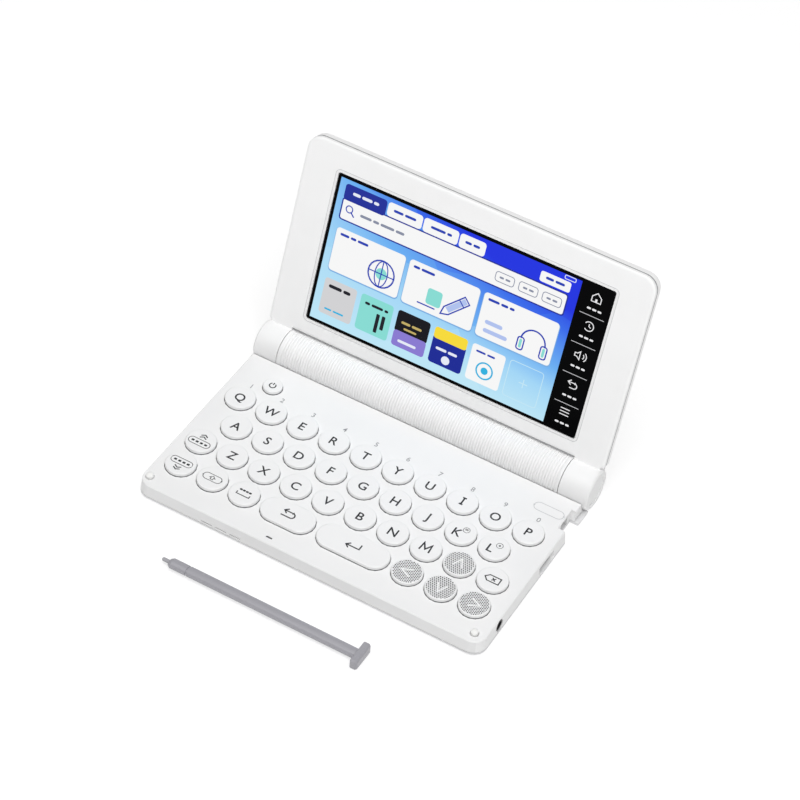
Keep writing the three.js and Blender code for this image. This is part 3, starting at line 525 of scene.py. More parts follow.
def ended(tree, given, geometry):
    """Ends a geometry tree in plain faces of the given material."""
    whole = add(tree, "GeometryNodeRealizeInstances", geometry)
    finished = add(tree, "GeometryNodeSetMaterial", whole, inputs={"Material": given["Material"]})
    add(tree, "NodeGroupOutput", finished)
    return tree


def grown(tree, mesh=None, **values):
    """Runs a geometry tree on a mesh and returns the plain mesh that it makes."""
    obj = shown("growing", mesh or bpy.data.meshes.new("empty"))
    modifier = obj.modifiers.new("Grow", "NODES")
    modifier.node_group = tree
    for item in tree.interface.items_tree:
        name = item.name.lower().replace(" ", "_")
        if item.item_type == "SOCKET" and item.in_out == "INPUT" and name in values:
            modifier[item.identifier] = values[name]
    return baked(obj)


# Radius of the path that a profile is swept round, so small that the points on the axis can be made one
TINY = 0.01 * MM


def turned_tree():
    """A profile of radius and depth, turned about Z and stretched along X into a pill."""
    tree, given = new_tree("Turned pill", {"Sides": 56, "Half straight": 0.0, "Material": None})
    profile = add(tree, "GeometryNodeMeshToCurve", given["Geometry"])
    circle = add(tree, "GeometryNodeCurvePrimitiveCircle", inputs={
        "Resolution": given["Sides"], "Radius": TINY,
    })
    # Half a step of turn keeps every point off the plane between the two halves
    turn = add(tree, "ShaderNodeCombineXYZ", 0.0, 0.0, add(tree, "DIVIDE", math.pi, given["Sides"]))
    round_path = add(tree, "GeometryNodeTransform", circle, inputs={"Rotation": turn})
    side = add(tree, "SIGN", add(tree, "ShaderNodeSeparateXYZ", add(tree, "GeometryNodeInputPosition")))
    offset = add(tree, "ShaderNodeCombineXYZ", add(tree, "MULTIPLY", side, given["Half straight"]))
    path = add(tree, "GeometryNodeSetPosition", round_path, inputs={"Offset": offset})
    swept = add(tree, "GeometryNodeCurveToMesh", path, profile)
    return ended(tree, given, add(tree, "GeometryNodeMergeByDistance", swept, inputs={"Distance": 3 * TINY}))


def turned(tree, profile, sides, half_straight, material):
    """A closed turned piece from a profile of radius and height in metres."""
    line = bpy.data.meshes.new("profile")
    line.from_pydata([(r, -z, 0) for r, z in profile], [(i, i + 1) for i in range(len(profile) - 1)], [])
    mesh = grown(tree, line, sides=sides, half_straight=half_straight, material=material)
    # The points of the axis stand apart by the path's radius and are drawn together here
    for vert in mesh.vertices:
        if abs(abs(vert.co.x) - half_straight) < 3 * TINY and abs(vert.co.y) < 3 * TINY:
            vert.co.x, vert.co.y = math.copysign(half_straight, vert.co.x), 0
    return shade(merged([mesh], 2 * TINY))


def ribbed_tree():
    """A ribbed wall wrapped round the X axis, between two radii, two angles and two places along X."""
    sizes = (
        "Start", "End", "From angle", "To angle", "Radius", "Bore", "Rib start", "Rib end", "Rib pitch",
        "Rib depth",
    )
    tree, given = new_tree("Ribbed wall", {
        **{label: 0.0 for label in sizes}, "Samples": 100, "Sides": 32, "Material": None,
    })
    length = add(tree, "SUBTRACT", given["End"], given["Start"])
    sweep = add(tree, "SUBTRACT", given["To angle"], given["From angle"])
    grid = add(tree, "GeometryNodeMeshGrid", length, sweep, given["Samples"], given["Sides"])
    x, y, z = add(tree, "ShaderNodeSeparateXYZ", add(tree, "GeometryNodeInputPosition")).outputs
    middle = add(tree, "MULTIPLY", add(tree, "ADD", given["End"], given["Start"]), 0.5)
    middle_angle = add(tree, "MULTIPLY", add(tree, "ADD", given["To angle"], given["From angle"]), 0.5)
    turn = add(tree, "ADD", y, middle_angle)
    wrapped = add(
        tree, "ShaderNodeCombineXYZ", add(tree, "ADD", x, middle),
        add(tree, "MULTIPLY", add(tree, "COSINE", turn), given["Bore"]),
        add(tree, "MULTIPLY", add(tree, "SINE", turn), given["Bore"]),
    )
    bent = add(tree, "GeometryNodeSetPosition", grid, inputs={"Position": wrapped})
    inner = add(tree, "GeometryNodeMergeByDistance", bent, inputs={"Distance": TINY})
    raised = add(tree, "GeometryNodeExtrudeMesh", inner, inputs={"Offset Scale": 0.0, "Individual": False})
    phase = add(tree, "DIVIDE", add(tree, "SUBTRACT", x, given["Rib start"]), given["Rib pitch"])
    wave = add(tree, "COSINE", add(tree, "MULTIPLY", phase, 2 * math.pi))
    # A power of the wave leaves broad ribs with narrow grooves between them
    groove = add(tree, "POWER", add(tree, "MULTIPLY", add(tree, "SUBTRACT", 1.0, wave), 0.5), 1.6)
    past_start = add(tree, "GREATER_THAN", x, given["Rib start"])
    ribbed = add(tree, "MULTIPLY", past_start, add(tree, "LESS_THAN", x, given["Rib end"]))
    depth = add(tree, "MULTIPLY", add(tree, "MULTIPLY", groove, ribbed), given["Rib depth"])
    grow = add(tree, "DIVIDE", add(tree, "SUBTRACT", given["Radius"], depth), given["Bore"])
    outside = add(
        tree, "ShaderNodeCombineXYZ", x, add(tree, "MULTIPLY", y, grow), add(tree, "MULTIPLY", z, grow),
    )
    outer = add(tree, "GeometryNodeSetPosition", raised, raised.outputs["Top"], outside)
    both = add(tree, "GeometryNodeJoinGeometry", outer)
    tree.links.new(add(tree, "GeometryNodeFlipFaces", inner).outputs[0], both.inputs[0])
    return ended(tree, given, add(tree, "GeometryNodeMergeByDistance", both, inputs={"Distance": TINY}))


def dots_tree():
    """Small flat dots inside a circle, each with six neighbours at the same distance."""
    tree, given = new_tree("Dotted field", {
        "Pitch": 0.0, "Dot": 0.0, "Field": 0.0, "Count": 10, "Material": None,
    })
    row_pitch = add(tree, "MULTIPLY", given["Pitch"], math.sin(math.radians(60)))
    steps = add(tree, "SUBTRACT", given["Count"], 1.0)
    across, along = (add(tree, "MULTIPLY", pitch, steps) for pitch in (given["Pitch"], row_pitch))
    grid = add(tree, "GeometryNodeMeshGrid", across, along, given["Count"], given["Count"])
    place = add(tree, "GeometryNodeInputPosition")
    y = add(tree, "ShaderNodeSeparateXYZ", place).outputs[1]
    row = add(tree, "ROUND", add(tree, "DIVIDE", y, row_pitch))
    odd = add(tree, "ABSOLUTE", add(tree, "MODULO", row, 2.0))
    stagger = add(tree, "MULTIPLY", add(tree, "MULTIPLY", odd, given["Pitch"]), 0.5)
    staggered = add(tree, "GeometryNodeSetPosition", grid, inputs={
        "Offset": add(tree, "ShaderNodeCombineXYZ", stagger),
    })
    away = add(tree, "ShaderNodeVectorMath", place, operation="LENGTH").outputs["Value"]
    outside = add(tree, "GREATER_THAN", away, given["Field"])
    kept = add(tree, "GeometryNodeDeleteGeometry", staggered, outside)
    dot = add(tree, "GeometryNodeMeshCircle", fill_type="NGON", inputs={
        "Vertices": 6, "Radius": given["Dot"],
    })
    return ended(tree, given, add(tree, "GeometryNodeInstanceOnPoints", kept, inputs={"Instance": dot}))


# Flat drawing in millimetres

# Thickness of a print, and how far apart two points of a drawing may lie and still be one
PRINT = 0.004
DOUBLE = 0.002


def arc(cx, cy, r, start=0, end=360, steps=24):
    """Points along an arc in degrees; a whole circle leaves out its last point."""
    turns = [math.radians(start + (end - start) * i / steps) for i in range(steps + (end - start != 360))]
    return [(cx + r * math.cos(turn), cy + r * math.sin(turn)) for turn in turns]


def rounded(x0, y0, x1, y1, r=0.0, steps=5):
    """A rounded rectangle as one loop."""
    r = min(r, (x1 - x0) / 2, (y1 - y0) / 2)
    if r <= 0:
        return [(x0, y0), (x1, y0), (x1, y1), (x0, y1)]
    corners = [(x1 - r, y0 + r, -90), (x1 - r, y1 - r, 0), (x0 + r, y1 - r, 90), (x0 + r, y0 + r, 180)]
    return [point for cx, cy, start in corners for point in arc(cx, cy, r, start, start + 90, steps)]


def plates(*boxes):
    """Rounded rectangles, each a group of its own, from two corners and a radius."""
    return [[rounded(*box)] for box in boxes]


def stroke(points, width, closed=False):
    """The loops round a line of some width: one for an open line, two for a closed one."""
    steps = zip(points, points[1:] + points[:1])
    ways = [Vector((bx - ax, by - ay)).normalized() for (ax, ay), (bx, by) in steps]
    left, right = [], []
    for i, (x, y) in enumerate(points):
        near = [ways[i - 1], ways[i]] if closed else ways[max(i - 1, 0):min(i + 1, len(points) - 1)]
        way = sum(near, Vector((0, 0))).normalized()
        # A line keeps its width round a bend, but a sharp point isn't drawn out far
        reach = width / 2 / max(0.35, way.dot(near[0]))
        left.append((x - way.y * reach, y + way.x * reach))
        right.append((x + way.y * reach, y - way.x * reach))
    return [left, right] if closed else [left + right[::-1]]


def strokes(width, *lines):
    """Open lines of one width, each a group of its own."""
    return [stroke(line, width) for line in lines]


def outline(x0, y0, x1, y1, r, width):
    return stroke(rounded(x0, y0, x1, y1, r), width, closed=True)


def ring(cx, cy, r, width):
    return stroke(arc(cx, cy, r), width, closed=True)


def chevron(cx, cy, half, rise, width):
    return stroke([(cx - half, cy), (cx, cy + rise), (cx + half, cy)], width)


def bars(x, y, lengths, height=1.15, gap=0.7):
    """A row of short rounded bars in place of a word."""
    loops = []
    for length in lengths:
        loops.append([rounded(x, y, x + length, y + height, height / 2, 3)])
        x += length + gap
    return loops


def filled(curve, thickness):
    """The thin plain mesh of a flat curve or of letters."""
    curve.fill_mode = "BOTH"
    curve.extrude = thickness * MM / 2
    return baked(shown("drawing", curve))


def flat(groups, thickness=PRINT):
    """A thin mesh from groups of loops in millimetres; inside one group a loop within a loop is a hole."""
    meshes = []
    for loops in groups:
        curve = bpy.data.curves.new("drawing", "CURVE")
        curve.dimensions = "2D"
        for loop in loops:
            spline = curve.splines.new("POLY")
            spline.points.add(len(loop) - 1)
            for point, (x, y) in zip(spline.points, loop):
                point.co = (x * MM, y * MM, 0, 1)
            spline.use_cyclic_u = True
        meshes.append(filled(curve, thickness))
    return merged(meshes, DOUBLE * MM)


def words(text, height, bold):
    """Centred letters of a given capital height in millimetres, as a thin mesh."""
    curve = bpy.data.curves.new("letters", "FONT")
    curve.body = text
    curve.align_x = "CENTER"
    curve.resolution_u = 4
    # A capital of the built-in font is 0.73 of its size high
    curve.size = height * MM / 0.73
    curve.offset = bold
    mesh = filled(curve, PRINT)
    xs = [vert.co.x for vert in mesh.vertices]
    return merged([moved(mesh, -(min(xs) + max(xs)) / 2, -height * MM / 2, 0)], DOUBLE * MM)


def barrel_axis():
    low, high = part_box("hinge_barrel")
    return Vector((0, (low.y + high.y) / 2, (low.z + high.z) / 2))


def on_lid(mesh, level):
    """Brings a mesh from the plane of the lid, with x across, y up and z out of its face, to the frame."""
    tilt = Matrix.Rotation(math.pi - bpy.context.scene.dictionary.lid.open_angle, 4, "X")
    return placed(mesh, Matrix.Translation(barrel_axis()) @ tilt @ Matrix.Translation((0, 0, level)))


# Operators, one for each piece or group of like pieces

# Half the floor's width in metres, and the soft round lights: name, place and width in metres, and watts
FLOOR = 6
LIGHTS = [("overhead", (0.3, -0.5, 1.65), 1.9, 32.5), ("left", (-1.2, 0.5, 1.2), 1.4, 1.5)]


class DICTIONARY_OT_stage(bpy.types.Operator):
    """Makes the pale floor, the soft lights and the camera"""

    bl_idname = "dictionary.stage"
    bl_label = "Stage"

    def execute(self, context):
        settings = context.scene.dictionary.stage
        level = min(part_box("foot_front")[0].z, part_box("stylus")[0].z) - 0.02 * MM
        corners = [(x, y, level) for x, y in rounded(-FLOOR, -FLOOR, FLOOR, FLOOR)]
        mesh = bpy.data.meshes.new("floor")
        mesh.from_pydata(corners, [], [(0, 1, 2, 3)])
        mesh.materials.append(lit_floor(settings.floor))
        floor = shown("floor", mesh)
        for name, at, width, watts in LIGHTS:
            data = bpy.data.lights.new(name, "AREA")
            data.shape, data.size, data.energy = "DISK", width, watts
            light = shown(name, data)
            light.location = at
            light.rotation_euler = (-Vector(at)).to_track_quat("-Z", "Y").to_euler()
        world = bpy.data.worlds.new("studio")
        world.use_nodes = True
        sky = world.node_tree.nodes["Background"].inputs
        sky["Color"].default_value, sky["Strength"].default_value = (1.0, 1.0, 1.0, 1.0), 0.2
        context.scene.world = world
        context.scene.view_settings.view_transform = "Standard"
        self.add_camera(context, settings)
        return {"FINISHED"}

    def add_camera(self, context, settings):
        turn, tilt, roll = settings.azimuth, settings.elevation, settings.roll
        back = Vector((math.sin(turn) * math.cos(tilt), -math.cos(turn) * math.cos(tilt), math.sin(tilt)))
        level = Vector((0, 0, 1)).cross(back).normalized()
        upright = back.cross(level)
        across = math.cos(roll) * level + math.sin(roll) * upright
        up = math.cos(roll) * upright - math.sin(roll) * level
        data = bpy.data.cameras.new("camera")
        data.sensor_width = 36
        data.lens = settings.lens
        data.clip_start, data.clip_end = 0.01, 20
        camera = shown("camera", data)
        place = Matrix.Translation(Vector(settings.target) + back * settings.distance)
        camera.matrix_world = place @ Matrix((across, up, back)).transposed().to_4x4()
        context.scene.camera = camera


class DICTIONARY_OT_finishes(bpy.types.Operator):
    """Gives every solid that stays its material"""

    bl_idname = "dictionary.finishes"
    bl_label = "Finishes of the plain solids"

    def execute(self, context):
        looks = {
            "steel": ["hinge_pin_left", "hinge_pin_right", "usb_socket"], "board": ["main_board"],
            "rubber": ["keypad_mat", "foot_front", "foot_rear"], "glass": ["touch_glass"],
            "black": ["speaker", "headphone_jack", "display_panel"],
        }
        for look, nodes in looks.items():
            for node in nodes:
                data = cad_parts[node].data
                data.materials.clear()
                data.materials.append(finish(look))
        return {"FINISHED"}


class DICTIONARY_OT_cells(bpy.types.Operator):
    """Makes the two cells with smooth jackets"""

    bl_idname = "dictionary.cells"
    bl_label = "Cells"

    def execute(self, context):
        for side in ("left", "right"):
            dressed("battery_" + side, "cell_" + side, "base", finish("cell"), edge=0.3)
        return {"FINISHED"}


# Depth of the sloped front wall of the deck case, in millimetres, whose forward faces take a painted shade
FRONT_WALL = 1.3


class DICTIONARY_OT_case(bpy.types.Operator):
    """Makes the shells of the base and the lid with smooth rounds and broken edges"""

    bl_idname = "dictionary.case"
    bl_label = "Shells"

    def execute(self, context):
        deck = dressed("deck_case", "deck_shell", "base", finish("shell"), edge=0.12)
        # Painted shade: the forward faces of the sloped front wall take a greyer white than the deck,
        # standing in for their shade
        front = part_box("deck_case")[0].y + FRONT_WALL * MM
        recoloured(deck, finish("wall"), lambda face: face.center.y < front and face.normal.y < -0.8)
        # Painted shade: the lower case is greyer than the deck, so its lip shows as the shaded band at the
        # foot of the base
        dressed("lower_case", "floor_shell", "base", finish("lip"), edge=0.15)
        # Painted light: both shells of the lid take the lid's whiter tone, standing in for the light on the
        # lid's face
        bezel = dressed("lid_front_bezel", "lid_front_shell", "lid", finish("lid"), edge=0.25)
        # The round ends match the barrel that they turn on, and keep the shell's white without the lid's
        # painted light
        low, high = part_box("hinge_barrel")
        axis, reach = barrel_axis(), (high.z - low.z) / 2 + 0.2 * MM
        recoloured(bezel, finish("shell"), lambda face: (face.center - axis).yz.length < reach)
        dressed("lid_back_cover", "lid_back_shell", "lid", finish("lid"), edge=0.25)
        for side in ("left", "right"):
            dressed("bumper_" + side, "stop_" + side, "base", finish("rubber"))
        return {"FINISHED"}


class DICTIONARY_OT_barrel(bpy.types.Operator):
    """Makes the finely ribbed barrel and its battery cover"""

    bl_idname = "dictionary.barrel"
    bl_label = "Ribbed barrel"

    def execute(self, context):
        sizes = context.scene.dictionary.barrel
        low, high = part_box("hinge_barrel")
        cover_low, cover_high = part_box("battery_cover")
        gap, full, look, tree = sizes.clearance, 2 * math.pi, finish("shell"), ribbed_tree()
        opening = cover_low.x - gap, cover_high.x + gap

        def wall(start, end, from_angle, to_angle, bore, sides):
            mesh = grown(
                tree, start=start, end=end, from_angle=from_angle, to_angle=to_angle, bore=bore, sides=sides,
                samples=round((end - start) / sizes.rib_pitch * sizes.samples) + 1, radius=sizes.radius,
                rib_start=low.x + sizes.rib_margin, rib_end=high.x - sizes.rib_margin,
                rib_pitch=sizes.rib_pitch, rib_depth=sizes.rib_depth, material=look,
            )
            return placed(shade(merged([mesh]), 50), Matrix.Translation(barrel_axis()))

        # The last number of each wall is its count of points round the axis
        left_end = wall(low.x, opening[0], 0.0, full, sizes.end_bore, 65)
        right_end = wall(opening[1], high.x, 0.0, full, sizes.end_bore, 65)
        trough = wall(*opening, sizes.cover_to, full + sizes.cover_from, sizes.bore, 37)
        barrel = merged([left_end, right_end, trough], outward=False)
        piece("ribbed_barrel", barrel, "base", look, ["hinge_barrel"])
        slack = gap / sizes.bore
        angles = sizes.cover_from + slack, sizes.cover_to - slack
        cover = wall(cover_low.x, cover_high.x, *angles, sizes.bore + gap, 29)
        piece("ribbed_battery_cover", cover, "battery_cover", look, ["battery_cover"])
        return {"FINISHED"}


# The rounds of the key solids have this many sides
SOLID_SIDES = 16


def key_box(node):
    """Lowest and highest corner and middle of a key, half its depth, and half the straight of a long key."""
    low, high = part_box(node)
    half = (high.y - low.y) / 2
    return low, high, (low + high) / 2, half, max(0.0, (high.x - low.x) / 2 - half)


class DICTIONARY_OT_keys(bpy.types.Operator):
    """Makes a smooth dished cap for every key"""

    bl_idname = "dictionary.keys"
    bl_label = "Key caps"

    def execute(self, context):
        sizes = context.scene.dictionary.keys
        tree, look = turned_tree(), finish("key")
        neck_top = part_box("deck_case")[1].z + sizes.neck_rise
        for node in [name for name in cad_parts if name.startswith("key_")]:
            low, high, middle, half, straight = key_box(node)
            # The solid's points lie half a step off the axes, so its box is a little narrower than its round
            radius = half / math.cos(math.pi / SOLID_SIDES) - sizes.flange
            profile = cap_profile(radius, low.z, neck_top, high.z, sizes)
            mesh = moved(turned(tree, profile, sizes.sides, straight, look), middle.x, middle.y, 0)
            cap = piece(node.replace("key_", "cap_"), mesh, node, look, [node])
            # Painted shade: the neck and the foot are coloured grey, standing in for the dark shadow gap
            # round a key
            recoloured(cap, finish("key_foot"), lambda face: face.center.z < neck_top)
        return {"FINISHED"}


def cap_profile(radius, bottom, neck_top, top, sizes):
    """From the middle of the foot, up the neck, round the edge and over the dish, as radius and height."""
    foot, foot_top = radius + sizes.flange - sizes.foot_slack, bottom + sizes.foot_rise
    neck, inner = radius - sizes.undercut, radius - sizes.edge
    return [
        (0, bottom), (foot, bottom), (radius, foot_top), (neck, foot_top), (neck, neck_top),
        (radius, neck_top + sizes.undercut), *arc(inner, top - sizes.edge, sizes.edge, 0, 90, 4),
        *[(inner * share, top - sizes.dish * (1 - share * share)) for share in (0.85, 0.6, 0.3, 0)],
    ]


def printed(name, key, mesh, look, lift=0.0):
    """Lays a flat print on the dished face of a key and its round edge."""
    sizes = bpy.context.scene.dictionary.keys
    _, high, middle, half, straight = key_box(key)
    radius = half - sizes.flange - sizes.edge
    for vert in mesh.vertices:
        away = math.hypot(max(0.0, abs(vert.co.x) - straight), vert.co.y)
        dish = sizes.dish * (1 - min(1.0, away / radius) ** 2)
        past = min(max(0.0, away - radius), sizes.edge)
        fall = sizes.edge - math.sqrt(sizes.edge ** 2 - past ** 2)
        vert.co.z += high.z + sizes.print_rise + lift - dish - fall
    piece(name, moved(mesh, middle.x, middle.y, 0), key, look)


# Letters drawn with straight lines, and small second signs beside two others, in millimetres
DRAWN = {
    "i": [[(-0.85, 1.85), (0.85, 1.85)], [(0, 1.7), (0, -1.7)], [(-0.85, -1.85), (0.85, -1.85)]],
    "m": [[(-2.1, -2.15), (-1.75, 2.0), (0, -1.0), (1.75, 2.0), (2.1, -2.15)]],
}
SIGNED = {
    "k": [ring(1.5, 1.95, 1.35, 0.22), *plates((0.8, 1.8, 2.2, 2.1, 0.1), (0.8, 2.3, 2.2, 2.6, 0.1))],
    "l": [ring(1.5, 1.95, 1.35, 0.22), [arc(1.5, 1.95, 0.45, 0, 360, 12)]],
}
# How far a letter moves to make room for its second sign
BESIDE = -1.15 * MM, -0.85 * MM


class DICTIONARY_OT_legends(bpy.types.Operator):
    """Prints the letters and symbols on the keys"""

    bl_idname = "dictionary.legends"
    bl_label = "Letters and symbols"

    def execute(self, context):
        sizes = context.scene.dictionary.keys
        prints = {}
        for name in LETTERS:
            if name in DRAWN:
                letter = flat(strokes(sizes.letter_stroke / MM, *DRAWN[name]))
            else:
                letter = words(name.upper(), sizes.letter / MM, sizes.boldness)
            if name in SIGNED:
                letter = merged([moved(letter, *BESIDE, 0), flat(SIGNED[name])], outward=False)
            prints[name] = letter
        for name, groups in signs(sizes.stroke / MM).items():
            prints[name] = flat(groups)
        for name, mesh in prints.items():
            printed("print_" + name, "key_" + name, mesh, finish("ink"))
        return {"FINISHED"}


def signs(width):
    """Plain signs for the keys that aren't letters, as groups of loops in millimetres."""
    thin, bold, broad = width * 0.8, width * 1.4, width * 1.6
    up = [
        (0, 1.05), (1.2, -0.05), (0.55, -0.05), (0.55, -0.95), (-0.55, -0.95), (-0.55, -0.05), (-1.2, -0.05),
    ]
    tag = [(-3.4, 0), (-1.9, 1.6), (3.1, 1.6), (3.1, -1.6), (-1.9, -1.6)]

    def page(way, y):
        return [
            outline(-4.9, y - 1.65, 4.9, y + 1.65, 1.65, thin),
            *plates(*[(x - 0.65, y - 0.5, x + 0.65, y + 0.5, 0.3) for x in (-3.0, -1.0, 1.0, 3.0)]),
            *[chevron(0, y + rise * way, 1.5, 0.9 * way, bold) for rise in (2.7, 3.9)],
        ]

    return {
        "page_up": page(1, -1.3),
        "page_down": page(-1, 0.7),
        "shift": [outline(-4.2, -1.75, 4.2, 1.75, 1.75, thin), stroke(up, thin, closed=True)],
        "space": [
            stroke([(-2.9, -0.2), (-2.9, -1.5), (2.9, -1.5), (2.9, -0.2)], width * 1.2),
            *plates(*[(x - 0.6, 0.75, x + 0.6, 1.65, 0.3) for x in (-2.1, -0.7, 0.7, 2.1)]),
        ],
        "back": strokes(
            broad, [(-2.0, 1.4), (1.6, 1.4), *arc(1.6, 0, 1.4, 90, -90, 10), (-2.6, -1.4)],
            [(-0.8, 2.7), (-2.3, 1.4), (-0.8, 0.1)],
        ),
        "enter": strokes(
            broad, [(3.0, 1.9), (3.0, -0.7), (-2.6, -0.7)], [(-1.3, 0.7), (-2.9, -0.7), (-1.3, -2.1)],
        ),
        "delete": [
            stroke(tag, bold, closed=True),
            *strokes(bold, [(-0.3, 0.75), (1.2, -0.75)], [(-0.3, -0.75), (1.2, 0.75)]),
        ],
        "power": strokes(bold, arc(0, -0.1, 1.35, 125, 415), [(0, 0.3), (0, 1.6)]),
    }


class DICTIONARY_OT_arrows(bpy.types.Operator):
    """Prints the dotted field and the chevron on each arrow key"""

    bl_idname = "dictionary.arrows"
    bl_label = "Arrow keys"

    def execute(self, context):
        sizes = context.scene.dictionary.keys
        tree = dots_tree()
        # Enough rows for the circle, because rows lie closer together than the dots of a row
        count = 2 * int(sizes.pattern_radius / sizes.dot_pitch) + 7
        for name, turn in ARROWS.items():
            field = grown(
                tree, pitch=sizes.dot_pitch, dot=sizes.dot_radius, field=sizes.pattern_radius, count=count,
                material=finish("pattern"),
            )
            sign = flat([chevron(0, -1.7, half=2.1, rise=4.2, width=sizes.sign_line / MM)])
            for mesh in (field, sign):
                placed(mesh, Matrix.Rotation(math.radians(turn - 90), 4, "Z"))
            key, over = "key_" + name, sizes.print_rise
            printed("dots_" + name, key, field, None)
            printed("chevron_" + name, key, sign, finish("white_ink"), over)
        return {"FINISHED"}


# Corners of the label's outline (painted shade of the label field's edge) and of the lamp window, the
# window's thickness and how far its middle lies under the deck, and how far ink stands up, in millimetres
LABEL = (61.0, 22.6, 74.2, 27.0)
LAMP = (-19.6, -49.75, -17.0, -49.05)
LAMP_THICK, LAMP_SUNK = 0.4, 0.3
DECK_INK = 0.008


class DICTIONARY_OT_deck_prints(bpy.types.Operator):
    """Prints the small numbers on the deck and sets the lamp window"""

    bl_idname = "dictionary.deck_prints"
    bl_label = "Deck prints"

    def execute(self, context):
        sizes = context.scene.dictionary.keys
        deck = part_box("deck_case")[1].z
        level = deck + DECK_INK * MM
        numbers = []
        for key, digit in DIGITS.items():
            middle = key_box("key_" + key)[2]
            number = words(digit, sizes.digit / MM, sizes.boldness / 2)
            numbers.append(moved(number, middle.x - sizes.digit_left, middle.y + sizes.digit_back, level))
        piece("deck_numbers", merged(numbers, outward=False), "base", finish("pale_ink"))
        # Painted shade: a faint outline standing in for the shaded edge of the label field
        label = moved(flat([outline(*LABEL, 2.2, 0.35)]), 0, 0, level)
        piece("deck_label_outline", label, "base", finish("faint_ink"))
        lamp = moved(flat(plates((*LAMP, 0.3)), LAMP_THICK), 0, 0, deck - LAMP_SUNK * MM)
        piece("lamp_window", lamp, "base", finish("lamp"))
        return {"FINISHED"}


class DICTIONARY_OT_display(bpy.types.Operator):
    """Draws the lit display picture and the touch strip on the glass"""

    bl_idname = "dictionary.display"
    bl_label = "Display"

    def execute(self, context):
        sizes = context.scene.dictionary.lid
        back = flat(plates(SCREEN))
        layer = back.uv_layers.new(name="screen")
        x0, y0, x1, y1 = SCREEN
        for loop in back.loops:
            x, y = back.vertices[loop.vertex_index].co.xy / MM
            layer.data[loop.index].uv = (x - x0) / (x1 - x0), (y - y0) / (y1 - y0)
        layers = [("wallpaper", 1, back, finish("wallpaper"))]
        for name, level, code, groups in screen_art():
            layers.append((name, level, flat(groups), lit("lit_" + name, linear(code))))
        for name, level, mesh, look in layers:
            on_lid(mesh, sizes.glass_top + level * sizes.layer)
            piece("screen_" + name, mesh, "lid", look)
        return {"FINISHED"}


# The picture in the plane of the lid, in millimetres: the screen, the sides of the cards, the left sides of
# the tiles, and the touch strip's middle, signs and lines
SCREEN = (-61.2, 18.6, 49.0, 83.9)
CARDS = [(-58, -25.5), (-23.5, 9), (11, 45)]
CARD_TOP = 62.4
GLOBE = (-34.5, 50.2)
TILES = [-58 + 17.4 * i for i in range(6)]
TILE_WIDTH, TILE_FOOT, TILE_TOP, TILE_ROUND = 15.2, 22.4, 38.8, 1.3
STRIP = 56.6
STRIP_ROWS = [79.5, 66.6, 53.0, 39.3, 26.8]
STRIP_LINES = [71.1, 57.7, 43.9, 30.3]


def tile(i, foot=TILE_FOOT, top=TILE_TOP):
    return [rounded(TILES[i], foot, TILES[i] + TILE_WIDTH, top, TILE_ROUND)]


def line_signs():
    """Thin signs of the picture: a globe, a pencil and headphones on the cards, and a magnifier."""
    x, y = GLOBE
    turns = [math.radians(degrees) for degrees in range(0, 360, 20)]
    oval = [(x + 2.9 * math.sin(turn), y + 5.8 * math.cos(turn)) for turn in turns]
    return [
        ring(x, y, 6.0, 0.6), ring(x, y, 5.6, 0.1), stroke(oval, 0.5, closed=True),
        *strokes(
            0.5, [(x - 5.8, y), (x + 5.8, y)], [(x, y - 5.8), (x, y + 5.8)], [(1.2, 54.1), (3.8, 51.5)],
        ),
        stroke([(-5.5, 44.8), (-4.6, 48.4), (3.4, 56.2), (6.0, 53.6), (-2.0, 45.7)], 0.6, closed=True),
        *strokes(0.6, [(-16.5, 45.4), (-8.2, 45.4)], [(-53.5, 70.4), (-52.0, 68.9)]),
        stroke(arc(36.0, 49.6, 5.4, 0, 180, 16), 0.7), outline(29.4, 44.4, 32.2, 50.0, 1.0, 0.6),
        outline(39.8, 44.4, 42.6, 50.0, 1.0, 0.6), ring(-54.6, 71.6, 1.5, 0.5),
    ]


